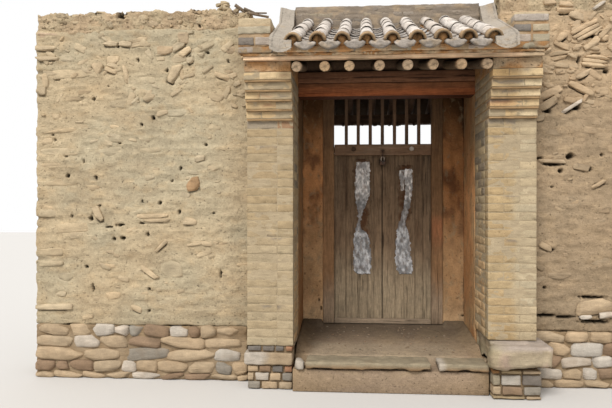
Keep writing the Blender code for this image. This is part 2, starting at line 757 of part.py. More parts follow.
def end_blocks(parts, cutters):
    """Brick shoulders over the piers, standing out past the piers as far as the courtyard walls."""
    middle = (ROOF_HALF + PIER_OUTER) / 2
    for side, name in ((-1, "left"), (1, "right")):
        start, end = mirrored(side, ROOF_HALF, PIER_OUTER)
        points = end_block_outline(RIDGE_CENTRE)
        block = outline(name + "_end_block", points, ALONG_X, start, end, grey_brick(), parts)
        start, end = mirrored(side, middle, EAVE_BRICK_REACH)
        points = end_block_outline(WALL_FRONT - GAP)
        cheek = outline(name + "_block_cheek", points, ALONG_X, start, end, grey_brick(), parts)
        combine(block, cheek, "UNION", cutters)


def roof_beds(parts):
    half = ROOF_HALF - GAP
    band = EAVE_BAND_REAR + GAP
    joint = RIDGE_CENTRE - GAP / 2
    front = [
        (band, rafter_top_line(band)),
        (joint, rafter_top_line(joint)),
        (joint, front_roof_line(joint) - GAP),
        (BRICK_FRONT, front_roof_line(BRICK_FRONT) - GAP),
        (BRICK_FRONT, BRICK_TOP + GAP),
        (band, BRICK_TOP + GAP),
    ]
    outline("front_roof_bed", front, ALONG_X, -half, half, adobe(), parts)
    joint = RIDGE_CENTRE + GAP / 2
    rear = [
        (joint, rear_bed_line(joint)),
        (REAR_BED_END, rear_bed_line(REAR_BED_END)),
        (REAR_BED_END, rear_roof_line(REAR_BED_END) - GAP),
        (joint, rear_roof_line(joint) - GAP),
    ]
    outline("rear_roof_bed", rear, ALONG_X, -half, half, adobe(), parts)


def tile_wave():
    """The end of a tiled slope: pans and covers side by side, as one rippled sheet."""
    lower = []
    steps = TILE_ROWS * TILE_WAVE_STEPS
    half = VERGE_INNER - GAP
    for index in range(steps + 1):
        across = -half + 2 * half * index / steps
        phase = 2 * math.pi * (across + TILE_PITCH / 2) / TILE_PITCH
        lower.append((across, TILE_HEIGHT * (1 - math.cos(phase)) / 2))
    upper = [(across, height + TILE_THICKNESS) for across, height in reversed(lower)]
    return lower + upper


def slope_directions(pitch):
    """Axes of a roof slope: along the wall, square to the tiles, and down the slope."""
    sine = math.sin(pitch)
    cosine = math.cos(pitch)
    return Matrix(((1, 0, 0), (0, -sine, -cosine), (0, cosine, -sine)))


def tiled_slopes(parts):
    for name, pitch, place, foot, reach in (
        ("front_tiles", FRONT_PITCH, EAVE_EDGE, EAVE_PAN_BOTTOM, RIDGE_FRONT - GAP - EAVE_EDGE),
        ("rear_tiles", -REAR_PITCH, REAR_EDGE, REAR_PAN_BOTTOM, RIDGE_REAR + GAP - REAR_EDGE),
    ):
        length = reach / math.cos(pitch)
        sheet = outline(name, tile_wave(), slope_directions(pitch), 0.0, -length, roof_tile(), parts)
        sheet.location += Vector((0, place, foot))


def ridge(parts):
    front = RIDGE_FRONT
    rear = RIDGE_REAR
    points = [
        (front, front_roof_line(front) + GAP),
        (RIDGE_CENTRE, RIDGE_FOOT + 2 * GAP),
        (rear, rear_roof_line(rear) + GAP),
        (rear - RIDGE_BATTER, RIDGE_TOP),
        (front + RIDGE_BATTER, RIDGE_TOP),
    ]
    half = VERGE_INNER - GAP
    outline("ridge", points, ALONG_X, -half, half, grey_brick(), parts)


def verges(parts):
    """Lime-plastered borders over the outer pans, carried up past both ends of the ridge."""
    front = EAVE_EDGE + VERGE_EAVE_INSET
    rear = REAR_EDGE - VERGE_EAVE_INSET
    points = [
        (front, front_roof_line(front) + GAP),
        (RIDGE_CENTRE, RIDGE_FOOT + 2 * GAP),
        (rear, rear_roof_line(rear) + GAP),
        (rear, rear_roof_line(rear) + VERGE_HEIGHT),
        (RIDGE_REAR, rear_roof_line(RIDGE_REAR) + VERGE_HEIGHT),
        (RIDGE_REAR - RIDGE_BATTER, RIDGE_TOP),
        (RIDGE_FRONT + RIDGE_BATTER, RIDGE_TOP),
        (RIDGE_FRONT, front_roof_line(RIDGE_FRONT) + VERGE_HEIGHT),
        (front, front_roof_line(front) + VERGE_HEIGHT),
    ]
    for side, name in ((-1, "left"), (1, "right")):
        start, end = mirrored(side, VERGE_INNER, ROOF_HALF - GAP)
        outline(name + "_verge", points, ALONG_X, start, end, lime_plaster(), parts)


def door_frame(parts, cutters):
    low = (-DOOR_HALF + GAP, FRAME_FRONT, PORCH_REAR_HEIGHT + GAP)
    high = (DOOR_HALF - GAP, FRAME_REAR, PORCH_REAR_HEIGHT + SILL_HEIGHT)
    box("door_sill", low, high, pale_wood(), parts)
    for side, name in ((-1, "left"), (1, "right")):
        start, end = mirrored(side, DOOR_HALF, POST_OUTER)
        low = (start, FRAME_FRONT, PORCH_REAR_HEIGHT + GAP)
        high = (end, FRAME_REAR, head_top())
        box(name + "_door_post", low, high, dark_wood(), parts)
        start, end = mirrored(side, POST_OUTER + GAP, PASSAGE_HALF - GAP)
        low = (start, FRAME_FRONT - INFILL_PROUD, PORCH_REAR_HEIGHT + GAP)
        high = (end, FRAME_REAR, head_top())
        box(name + "_infill_panel", low, high, stained_plaster(), parts)
    transom_grille(parts, cutters)


def transom_grille(parts, cutters):
    """Rail, bars and head of the light over the door, framed together."""
    half = DOOR_HALF - GAP
    low = (-half, FRAME_FRONT, RAIL_BOTTOM)
    high = (half, FRAME_REAR, RAIL_BOTTOM + RAIL_HEIGHT)
    grille = box("transom_grille", low, high, dark_wood(), parts)
    pitch = 2 * DOOR_HALF / (BAR_COUNT + 1)
    middle = (FRAME_FRONT + FRAME_REAR) / 2
    for number in range(1, BAR_COUNT + 1):
        across = -DOOR_HALF + pitch * number
        low = (across - BAR_WIDTH / 2, middle - BAR_WIDTH / 2, RAIL_BOTTOM + RAIL_HEIGHT - BAR_BITE)
        high = (across + BAR_WIDTH / 2, middle + BAR_WIDTH / 2, head_bottom() + BAR_BITE)
        combine(grille, box(f"bar_{number}", low, high, dark_wood(), parts), "UNION", cutters)
    low = (-half, FRAME_FRONT, head_bottom())
    high = (half, FRAME_REAR, head_top())
    combine(grille, box("transom_head", low, high, dark_wood(), parts), "UNION", cutters)
    for side, name in ((-1, "left"), (1, "right")):
        combine(grille, peg(name + "_rail_peg_hole", side, parts, GAP), "DIFFERENCE", cutters)
    return grille


def peg(name, side, parts, gap=0.0):
    start = (side * PEG_OFFSET, FRAME_FRONT - PEG_PROUD - gap, PEG_PLACE)
    end = (side * PEG_OFFSET, FRAME_REAR + PIVOT_RAIL_DEPTH + PEG_PROUD + gap, PEG_PLACE)
    return log(name, start, end, PEG_RADIUS + gap, dark_wood(), parts, 12)


def pivot_rail(parts, cutters):
    """The rear rail that holds the leaves' upper pins, pegged through the front rail."""
    bottom = PIVOT_RAIL_BOTTOM
    low = (-POST_OUTER, FRAME_REAR + GAP, bottom)
    high = (POST_OUTER, FRAME_REAR + PIVOT_RAIL_DEPTH, bottom + PIVOT_RAIL_HEIGHT)
    rail = box("pivot_rail", low, high, dark_wood(), parts)
    for side, name in ((-1, "left"), (1, "right")):
        combine(rail, peg(name + "_rail_peg", side, parts), "UNION", cutters)
        start = (side * PIVOT_PLACE, PIVOT_AXIS_Y, bottom - PIVOT_LENGTH)
        end = (side * PIVOT_PLACE, PIVOT_AXIS_Y, bottom + 2 * PIVOT_RAIL_HEIGHT)
        socket = log(name + "_upper_socket", start, end, PIVOT_RADIUS + PIN_GAP, dark_wood(), parts, 20)
        combine(rail, socket, "DIFFERENCE", cutters)


def pivot_stones(parts, cutters):
    top = LEAF_BOTTOM - SWING_GAP
    for side, name in ((-1, "left"), (1, "right")):
        start, end = mirrored(side, PIVOT_PLACE - PIVOT_STONE_SIZE / 2, PIVOT_PLACE + PIVOT_STONE_SIZE / 2)
        low = (start, FRAME_REAR + 2 * GAP, REAR_FLOOR_HEIGHT + GAP)
        high = (end, FRAME_REAR + PIVOT_STONE_DEPTH, top)
        stone = box(name + "_pivot_stone", low, high, field_stone(), parts)
        foot = (side * PIVOT_PLACE, PIVOT_AXIS_Y, top - PIVOT_LENGTH)
        head = (side * PIVOT_PLACE, PIVOT_AXIS_Y, top + PIVOT_LENGTH)
        socket = log(name + "_lower_socket", foot, head, PIVOT_RADIUS + PIN_GAP, field_stone(), parts, 20)
        combine(stone, socket, "DIFFERENCE", cutters)


def door_leaves(parts, cutters):
    """Plank leaves with round pivot stiles and rear battens, each hung on its own axis."""
    for side, name in ((-1, "left"), (1, "right")):
        axis = bpy.data.objects.new(name + "_door_axis", None)
        parts.objects.link(axis)
        axis.location = (side * PIVOT_PLACE, PIVOT_AXIS_Y, 0.0)
        leaf = door_leaf(name, side, parts, cutters)
        bpy.context.view_layer.update()
        place = leaf.matrix_world.copy()
        leaf.parent = axis
        leaf.matrix_parent_inverse = Matrix.Translation(axis.location).inverted()
        leaf.matrix_world = place


def door_leaf(name, side, parts, cutters):
    start, end = mirrored(side, LEAF_MEETING_GAP / 2, PIVOT_PLACE)
    low = (start, LEAF_FRONT, LEAF_BOTTOM)
    high = (end, LEAF_REAR, LEAF_TOP)
    leaf = box(name + "_door_leaf", low, high, door_wood(), parts)
    axis = (side * PIVOT_PLACE, PIVOT_AXIS_Y)
    stile = log(
        name + "_stile", (*axis, LEAF_BOTTOM), (*axis, LEAF_TOP), LEAF_THICKNESS / 2, door_wood(), parts, 20
    )
    combine(leaf, stile, "UNION", cutters)
    foot = (*axis, LEAF_BOTTOM - SWING_GAP - PIVOT_LENGTH + GAP)
    head = (*axis, LEAF_TOP + SWING_GAP + PIVOT_LENGTH)
    combine(leaf, log(name + "_pin", foot, head, PIVOT_RADIUS, door_wood(), parts, 16), "UNION", cutters)
    for number, height in enumerate(BATTEN_HEIGHTS, 1):
        start, end = mirrored(side, BATTEN_INSET, PIVOT_PLACE - BATTEN_INSET)
        low = (start, LEAF_REAR - BATTEN_THICKNESS / 2, height - BATTEN_WIDTH / 2)
        high = (end, LEAF_REAR + BATTEN_THICKNESS, height + BATTEN_WIDTH / 2)
        batten = box(f"{name}_batten_{number}", low, high, door_wood(), parts)
        combine(leaf, batten, "UNION", cutters)
    return leaf


def lock(parts, cutters):
    """A staple driven into the rail, a long link on it, and a padlock on the link."""
    height = RAIL_BOTTOM + STAPLE_HALF + STAPLE_BITE
    front = FRAME_FRONT - STAPLE_PROUD
    rear = FRAME_FRONT + STAPLE_BITE
    path = [(-STAPLE_HALF, rear, height), (-STAPLE_HALF, front, height)]
    path += [(STAPLE_HALF, front, height), (STAPLE_HALF, rear, height)]
    wire("lock_staple", path, STAPLE_WIRE, iron(), parts)
    hole = wire("staple_hole", path, STAPLE_WIRE + GAP, iron(), parts)
    combine(parts.objects["transom_grille"], hole, "DIFFERENCE", cutters)
    top = height + STAPLE_WIRE + LINK_WIRE + GAP
    bottom = top - LINK_LENGTH
    ring = half_circle((0.0, 0.0, top - LINK_HALF), LINK_HALF, 0.0, 8)
    ring += half_circle((0.0, 0.0, bottom + LINK_HALF), LINK_HALF, math.pi, 8)
    turned = [(0.0, front + across, up) for across, _, up in ring]
    wire("lock_link", turned, LINK_WIRE, iron(), parts, closed=True)
    crown = bottom + LINK_WIRE + SHACKLE_WIRE + GAP
    shackle_centre = (0.0, front, crown - SHACKLE_HALF)
    arch = half_circle(shackle_centre, SHACKLE_HALF, 0.0, 8)
    foot = shackle_centre[2] - SHACKLE_HEIGHT
    arch = [(SHACKLE_HALF, front, foot)] + arch + [(-SHACKLE_HALF, front, foot)]
    low = (-LOCK_WIDTH / 2, front - LOCK_DEPTH / 2, foot + SHACKLE_BITE - LOCK_HEIGHT)
    high = (LOCK_WIDTH / 2, front + LOCK_DEPTH / 2, foot + SHACKLE_BITE)
    body = box("padlock", low, high, iron(), parts)
    combine(body, wire("shackle", arch, SHACKLE_WIRE, iron(), parts), "UNION", cutters)


def build():
    clear_scene()
    parts = new_collection("courtyard_gateway")
    cutters = new_collection("cutters")
    courtyard_walls(parts)
    wall_caps(parts)
    piers(parts)
    pier_footings(parts, cutters)
    porch_floor(parts)
    passage_walls(parts, cutters)
    lintels(parts)
    rafters(parts, cutters)
    eave_band(parts)
    end_blocks(parts, cutters)
    roof_beds(parts)
    tiled_slopes(parts)
    ridge(parts)
    verges(parts)
    door_frame(parts, cutters)
    pivot_rail(parts, cutters)
    pivot_stones(parts, cutters)
    door_leaves(parts, cutters)
    lock(parts, cutters)


build()
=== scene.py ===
"""The looks of a village courtyard gateway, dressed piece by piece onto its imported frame.

Every surface is made here: mud walls with half-buried stones, single bricks and tiles, worked timber,
planks, torn blank paper and a hung lock. Units are metres and the frame's axes hold: X runs along
the wall to the right, Y runs into the courtyard and Z is up.
"""

import math
from functools import lru_cache

import bpy
import numpy as np
from bpy.props import FloatProperty, FloatVectorProperty, IntProperty, PointerProperty
from mathutils import Euler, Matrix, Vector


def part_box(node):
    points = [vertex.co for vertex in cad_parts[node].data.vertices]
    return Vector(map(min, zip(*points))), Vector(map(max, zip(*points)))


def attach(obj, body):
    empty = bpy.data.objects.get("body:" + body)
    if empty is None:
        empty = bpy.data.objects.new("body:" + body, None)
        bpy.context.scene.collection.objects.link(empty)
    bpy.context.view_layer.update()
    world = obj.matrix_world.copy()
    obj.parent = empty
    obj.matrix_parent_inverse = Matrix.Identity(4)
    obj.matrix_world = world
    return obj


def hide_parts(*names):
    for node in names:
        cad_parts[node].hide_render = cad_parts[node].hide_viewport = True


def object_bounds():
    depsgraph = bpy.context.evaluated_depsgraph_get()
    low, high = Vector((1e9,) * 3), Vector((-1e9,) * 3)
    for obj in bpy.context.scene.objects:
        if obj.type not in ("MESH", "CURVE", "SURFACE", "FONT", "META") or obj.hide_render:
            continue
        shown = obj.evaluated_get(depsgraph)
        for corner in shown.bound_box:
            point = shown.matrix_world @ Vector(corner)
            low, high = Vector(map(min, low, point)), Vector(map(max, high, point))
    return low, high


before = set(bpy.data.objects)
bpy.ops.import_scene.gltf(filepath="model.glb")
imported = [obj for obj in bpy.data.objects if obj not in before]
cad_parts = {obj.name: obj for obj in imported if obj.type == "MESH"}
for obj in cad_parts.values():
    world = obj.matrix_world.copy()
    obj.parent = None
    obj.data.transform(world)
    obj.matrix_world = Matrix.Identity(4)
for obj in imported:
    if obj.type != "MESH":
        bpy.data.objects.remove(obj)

bl_info = {
    "name": "Courtyard Gateway",
    "version": (1, 0, 0),
    "blender": (4, 5, 0),
    "location": "View3D > Sidebar > Gateway",
    "description": "Dresses the frame of a courtyard gateway in brick, mud, tile and timber",
    "category": "Object",
}

CAD_BOUNDS = [list(corner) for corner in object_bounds()]

# The photograph's view: 612 by 408 pixels, its middle, and the lens in those pixels
PHOTO_WIDTH = 612
PHOTO_MIDDLE = (306, 204)
LENS_PIXELS = 610
CAMERA_PLACE = (-0.358, -5.6, 1.71)
CAMERA_TURN = math.radians(4.13)

# Lines of the frame that several pieces share
PASSAGE_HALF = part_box("right_pier")[0][0]
PIER_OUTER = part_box("right_pier")[1][0]
PIER_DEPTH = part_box("right_pier")[1][1]
PIER_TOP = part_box("eave_board")[0][2]
WALL_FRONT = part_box("left_wall")[0][1]
RIDGE_CENTRE = (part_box("ridge")[0][1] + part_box("ridge")[1][1]) / 2

# Sizes that the frame was built with
SHAFT_TOP = 2.48
PIER_COURSE = 0.0768
CORBEL_COURSES = 5
CORBEL_COURSE = 0.082
CORBEL_STEP = 0.038
RAFTER_RADIUS = 0.0475
RAFTERS = 8
TILE_PITCH = 0.213
ROW_DRAW = 0.128
ROW_DRAW_MIDDLE = -0.12
TILE_ROWS = 10
TILE_BAND = 0.14
REAR_BED = 0.075

# The gap left beside a neighbour
CLEAR = 0.0006
# From where to where along the width the eave's band comes out of the roof's shade
OPEN_AIR = (0.98, 1.06)
HALF_TURN = math.pi


def colour_property(name, colour):
    return FloatVectorProperty(name=name, description=f"Colour of the {name.lower()}", subtype="COLOR",
                               size=3, min=0.0, max=1.0, default=colour)


def length_property(name, description, size):
    return FloatProperty(name=name, description=description, subtype="DISTANCE", unit="LENGTH",
                         min=0.0, default=size)


class GatewayMasonry(bpy.types.PropertyGroup):
    """Sizes of the bricks, stones and mud."""

    brick_length: length_property("Brick length", "Length of a brick", 0.281)
    brick_depth: length_property("Brick depth", "Width of a brick", 0.14)
    joint: length_property("Joint", "Thickness of the mortar between bricks", 0.007)
    mortar_recess: length_property("Mortar recess", "How far the mortar lies behind the bricks", 0.0016)
    brick_wear: length_property("Brick wear", "Depth of the wear on a brick's faces", 0.0032)
    wall_step: length_property("Wall step", "Spacing of the points of a mud wall", 0.0125)
    mud_relief: length_property("Mud relief", "Depth of the hand-laid mud's unevenness", 0.012)


class GatewayRoof(bpy.types.PropertyGroup):
    """Slopes and tile sizes."""

    front_pitch: FloatProperty(name="Front pitch", description="Slope of the street side of the roof",
                               subtype="ANGLE", default=math.radians(22.5))
    rear_pitch: FloatProperty(name="Rear pitch", description="Slope of the courtyard side of the roof",
                              subtype="ANGLE", default=math.radians(19.5))
    tile_thickness: length_property("Tile thickness", "Thickness of a clay tile", 0.013)
    pan_step: length_property("Pan step", "Length of each pan tile that shows", 0.15)
    cover_step: length_property("Cover step", "Length of each cover tile that shows", 0.27)


class GatewayTimber(bpy.types.PropertyGroup):
    """Finish of the timber."""

    crack_depth: length_property("Crack depth", "Depth of the drying cracks", 0.006)
    bars: IntProperty(name="Bars", description="Bars in the light over the door", min=1, default=7)


class GatewayColours(bpy.types.PropertyGroup):
    """Colours of the finishes, before weathering."""

    mud: colour_property("Mud plaster", (0.4, 0.317, 0.204))
    mud_grey: colour_property("Greyer mud", (0.362, 0.306, 0.208))
    mud_brown: colour_property("Browner mud", (0.27, 0.19, 0.111))
    clod: colour_property("Mud clods", (0.35, 0.26, 0.165))
    orange_mud: colour_property("Orange mud", (0.29, 0.155, 0.065))
    stone: colour_property("Tan stone", (0.36, 0.27, 0.174))
    white_stone: colour_property("White stone", (0.4, 0.35, 0.29))
    grey_stone: colour_property("Grey stone", (0.235, 0.205, 0.165))
    red_stone: colour_property("Red-brown stone", (0.23, 0.155, 0.098))
    brown_stone: colour_property("Brown stone", (0.27, 0.165, 0.085))
    yellow_brick: colour_property("Yellow brick", (0.32, 0.24, 0.14))
    khaki_brick: colour_property("Khaki brick", (0.31, 0.262, 0.185))
    pale_brick: colour_property("Pale brick", (0.345, 0.28, 0.185))
    grey_brick: colour_property("Grey brick", (0.155, 0.135, 0.115))
    red_brick: colour_property("Red brick", (0.27, 0.145, 0.083))
    mortar: colour_property("Mortar", (0.34, 0.27, 0.175))
    stain: colour_property("Stained plaster", (0.3, 0.17, 0.085))
    earth: colour_property("Packed earth", (0.28, 0.205, 0.14))
    door: colour_property("Door planks", (0.172, 0.113, 0.068))
    dark_wood: colour_property("Dark timber", (0.165, 0.098, 0.058))
    red_wood: colour_property("Red-brown timber", (0.28, 0.095, 0.04))
    pale_wood: colour_property("Pale timber", (0.34, 0.255, 0.175))
    tile: colour_property("Tile", (0.31, 0.262, 0.217))
    limed_tile: colour_property("Limed tile", (0.42, 0.37, 0.32))
    lime: colour_property("Lime plaster", (0.4, 0.35, 0.29))
    iron: colour_property("Iron", (0.045, 0.036, 0.03))
    paper: colour_property("Paper", (0.55, 0.55, 0.56))


class GatewayStage(bpy.types.PropertyGroup):
    """Floor and light."""

    floor: colour_property("Floor", (0.52, 0.505, 0.485))
    sky_strength: FloatProperty(name="Sky strength", description="Light from all round", default=1.0)
    sun_strength: FloatProperty(name="Key strength", description="Light from the front", default=3.2)
    sun_softness: FloatProperty(name="Key softness", description="Apparent size of the front light",
                                subtype="ANGLE", default=math.radians(24))


PROPERTY_GROUPS = {
    "gateway_masonry": GatewayMasonry,
    "gateway_roof": GatewayRoof,
    "gateway_timber": GatewayTimber,
    "gateway_colours": GatewayColours,
    "gateway_stage": GatewayStage,
}


def masonry():
    return bpy.context.scene.gateway_masonry


def roof():
    return bpy.context.scene.gateway_roof


def timber():
    return bpy.context.scene.gateway_timber


def colour(name):
    return np.array(getattr(bpy.context.scene.gateway_colours, name))


def corners(node):
    """The low and the high corner of a node of the frame."""
    return (np.array(corner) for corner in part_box(node))


# Noise and chance


CELL_MIXERS = (374761393, 668265263, 951274213)
SEED_MIXER = 1274126177
SEEDS = 1 << 20


def lattice(cells, seed):
    """A steady number from -1 to 1 for each whole cell."""
    mixed = sum(cells[..., axis] * mixer for axis, mixer in enumerate(CELL_MIXERS)) + seed * SEED_MIXER
    mixed = mixed & 0xFFFFFFFF
    mixed = ((mixed ^ (mixed >> 13)) * 1103515245) & 0xFFFFFFFF
    mixed = ((mixed ^ (mixed >> 16)) * 2246822519) & 0xFFFFFFFF
    return ((mixed ^ (mixed >> 15)) & 0xFFFF) / 32767.5 - 1.0


def noise(points, scale, seed=0):
    """Smooth noise from -1 to 1 whose bumps are about as large as scale, which may differ by axis."""
    places = np.asarray(points, float) / np.asarray(scale, float)
    cells = np.floor(places).astype(np.int64)
    part = places - cells
    part = part * part * (3 - 2 * part)
    total = np.zeros(len(places))
    for corner in np.ndindex(2, 2, 2):
        weight = np.prod(np.where(corner, part, 1 - part), axis=1)
        total += weight * lattice(cells + np.array(corner), seed)
    return total


def rough(points, scale, seed=0, octaves=3):
    """Several sizes of noise together."""
    scale = np.asarray(scale, float)
    return sum(noise(points, scale / 2 ** n, seed + n) / 1.8 ** n for n in range(octaves)) / 1.6


def smooth(values, low, high):
    """A soft step from nought at low to one at high, either of which may be the greater."""
    part = np.clip((values - low) / (high - low), 0, 1)
    return part * part * (3 - 2 * part)


def blend(first, second, part):
    """Between two colours, one share for each point."""
    part = np.asarray(part)[..., None]
    return np.asarray(first) * (1 - part) + np.asarray(second) * part


def patchy(points, first, second, scale, seed, low, high, octaves=3):
    """Two colours in patches over a surface."""
    return blend(first, second, smooth(rough(points, scale, seed, octaves), low, high))


# Shapes


@lru_cache(maxsize=None)
def shell(across, deep, up):
    """The lattice places on the surface of a block, and the quads between them, facing out."""
    marks = np.zeros((across + 1, deep + 1, up + 1), bool)
    marks[[0, -1]] = True
    marks[:, [0, -1]] = True
    marks[:, :, [0, -1]] = True
    number = np.full(marks.shape, -1)
    number[marks] = np.arange(marks.sum())
    quads = []
    for axis in range(3):
        for end in (0, -1):
            side = np.take(number, end, axis=axis)
            ring = [side[:-1, :-1], side[1:, :-1], side[1:, 1:], side[:-1, 1:]]
            if (axis == 1) == (end == -1):
                ring.reverse()
            quads.append(np.stack(ring, axis=-1).reshape(-1, 4))
    return np.argwhere(marks), np.concatenate(quads)


def block(low, high, step, rounding=0.004):
    """A rounded block: its points, the way each faces, and its quads."""
    low = np.asarray(low, float)
    high = np.asarray(high, float)
    steps = np.broadcast_to(step, 3)
    rounding = min(rounding, 0.45 * (high - low).min())
    lines = []
    for start, end, gap in zip(low, high, steps):
        count = max(1, round((end - start - 2 * rounding) / gap))
        inner = np.linspace(start + rounding, end - rounding, count + 1)
        lines.append(np.concatenate(([start], inner, [end])))
    places, quads = shell(*(len(line) - 1 for line in lines))
    points = np.stack([line[places[:, axis]] for axis, line in enumerate(lines)], axis=1)
    heart = np.clip(points, low + rounding, high - rounding)
    away = points - heart
    facing = away / np.linalg.norm(away, axis=1, keepdims=True)
    return heart + facing * rounding, facing, quads


def turned(points, angles, centre):
    """Points turned about a centre by angles round X, Y and Z."""
    turn = np.array(Euler(angles).to_matrix())
    return (points - centre) @ turn.T + centre


def stone(centre, size, chance, turn=(0, 0, 0), square=3.2, cells=4, roughness=0.10, chips=4):
    """A stone: a block with rounded edges, cut by a few flat breaks."""
    places, quads = shell(cells, cells, cells)
    cube = places / cells * 2 - 1
    points = cube / (np.abs(cube) ** square).sum(axis=1, keepdims=True) ** (1 / square)
    facing = points / np.linalg.norm(points, axis=1, keepdims=True)
    for _ in range(chips):
        cut = chance.normal(size=3) * (1, 0.45, 1)
        cut /= np.linalg.norm(cut)
        depth = (points @ cut) - chance.uniform(0.74, 1.0) * (1.0 if square < 5 else 1.18)
        points = points - np.maximum(depth, 0)[:, None] * cut
    seed = int(chance.integers(SEEDS))
    points = points + facing * (roughness * rough(points + seed, 0.9, seed))[:, None]
    points = points * np.asarray(size) / 2
    return turned(points, turn, 0) + np.asarray(centre), quads


def swept(path, radii, sides=12, closed=False):
    """A round body along a path. A radius of nought closes an end."""
    path = np.asarray(path, float)
    radii = np.broadcast_to(radii, len(path)).astype(float)
    whole = path[-1] - path[0]
    ways = np.roll(path, -1, axis=0) - np.roll(path, 1, axis=0)
    if not closed:
        ways[0] = path[1] - path[0]
        ways[-1] = path[-1] - path[-2]
    length = np.linalg.norm(ways, axis=1)
    ways[length < 1e-7] = whole
    ways /= np.linalg.norm(ways, axis=1, keepdims=True)
    aside = np.cross(ways[0], (0.31, 0.17, 0.94) if abs(ways[0][2]) < 0.8 else (1.0, 0.2, 0.1))
    points, rings, faces = [], [], []
    for place, way, radius in zip(path, ways, radii):
        aside = aside - way * (aside @ way)
        aside = aside / np.linalg.norm(aside)
        other = np.cross(way, aside)
        first = sum(len(ring) for ring in rings)
        count = sides if radius > 0 else 1
        angles = np.arange(count)[:, None] * 2 * HALF_TURN / sides
        points.append(place + radius * (np.cos(angles) * aside + np.sin(angles) * other))
        rings.append([first + n for n in range(count)])
    pairs = list(zip(rings, rings[1:] + rings[:1])) if closed else list(zip(rings, rings[1:]))
    for ring, after in pairs:
        for n in range(sides):
            around = [ring[n % len(ring)], ring[(n + 1) % sides % len(ring)]]
            around += [after[(n + 1) % sides % len(after)], after[n % len(after)]]
            faces.append(list(dict.fromkeys(around)))
    return np.concatenate(points), faces


# Pieces with more facets than this are thinned
THINNED_FROM = 1500
# The share of its facets that such a piece keeps, by the first of these words that its name holds
KEPT_SHARES = (("pier_bricks", 0.43), ("wall_mud", 0.32), ("wall_stones", 0.27), ("clods", 0.27),
               ("footing", 0.30), ("passage", 0.25), ("", 0.45))


def thinned(piece):
    """Merges the piece's flattest facets until it keeps its share of them."""
    fine = piece.data
    share = next(share for word, share in KEPT_SHARES if word in piece.name)
    piece.modifiers.new("Thinning", "DECIMATE").ratio = share
    piece.data = bpy.data.meshes.new_from_object(piece.evaluated_get(bpy.context.evaluated_depsgraph_get()))
    piece.modifiers.clear()
    bpy.data.meshes.remove(fine)
    piece.data.name = piece.name
    places = np.empty((len(piece.data.vertices), 3))
    piece.data.vertices.foreach_get("co", places.ravel())
    piece.data.vertices.foreach_set("co", np.clip(places, CAD_BOUNDS[0], CAD_BOUNDS[1]).ravel())


DARKEST, PALEST = 0.004, 0.92


class Pile:
    """The points, faces and tints of one piece, gathered from many small shapes."""

    def __init__(self, seed):
        self.chance = np.random.default_rng(seed)
        self.points = []
        self.faces = []
        self.tints = []
        self.count = 0

    def draw(self, *spread):
        return self.chance.uniform(*spread)

    def new_seed(self):
        return int(self.chance.integers(SEEDS))

    def varied(self, tone, amount):
        """A colour a little lighter or darker and a little warmer or cooler."""
        warm = self.draw(-1, 1) * amount * 0.35
        return np.asarray(tone) * (1 + self.draw(-1, 1) * amount) * np.array((1 + warm, 1, 1 - warm))

    def add(self, points, faces, tint, apart=True):
        """Adds a shape. One that lies apart has its own part of the finish's pattern."""
        shift = self.chance.uniform(0.05, 0.95) if apart else 0.0
        tints = np.empty((len(points), 4))
        tints[:, :3] = np.clip(tint, DARKEST, PALEST)
        tints[:, 3] = shift
        if isinstance(faces, np.ndarray):
            self.faces += (faces + self.count).tolist()
        else:
            self.faces += [[corner + self.count for corner in face] for face in faces]
        self.points.append(points)
        self.tints.append(tints)
        self.count += len(points)

    def make(self, name, finish, replaces=(), body="gateway", smooth_faces=True):
        """Makes the piece, rides it on its body and hides the parts of the frame that it stands for."""
        mesh = bpy.data.meshes.new(name)
        points = np.clip(np.concatenate(self.points), CAD_BOUNDS[0], CAD_BOUNDS[1])
        mesh.from_pydata(points.tolist(), [], self.faces)
        tint = mesh.attributes.new("tint", "FLOAT_COLOR", "POINT")
        tint.data.foreach_set("color", np.concatenate(self.tints).ravel())
        if smooth_faces:
            mesh.shade_smooth()
        mesh.materials.append(finish)
        mesh.validate()
        piece = bpy.data.objects.new(name, mesh)
        bpy.context.scene.collection.objects.link(piece)
        if len(self.faces) > THINNED_FROM:
            thinned(piece)
        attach(piece, body)
        if replaces:
            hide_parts(*replaces)
        return piece


def photo_place(across, up, depth):
    """The X and Z that show at a pixel, on the upright plane at a depth, and the pixels to a metre there."""
    reach = depth - CAMERA_PLACE[1]
    cosine, sine = math.cos(CAMERA_TURN), math.sin(CAMERA_TURN)
    slant = (across - PHOTO_MIDDLE[0]) / LENS_PIXELS
    aside = reach * (cosine * slant - sine) / (cosine + sine * slant)
    scale = LENS_PIXELS / (cosine * reach - sine * aside)
    return CAMERA_PLACE[0] + aside, CAMERA_PLACE[2] + (PHOTO_MIDDLE[1] - up) / scale, scale


# Finishes


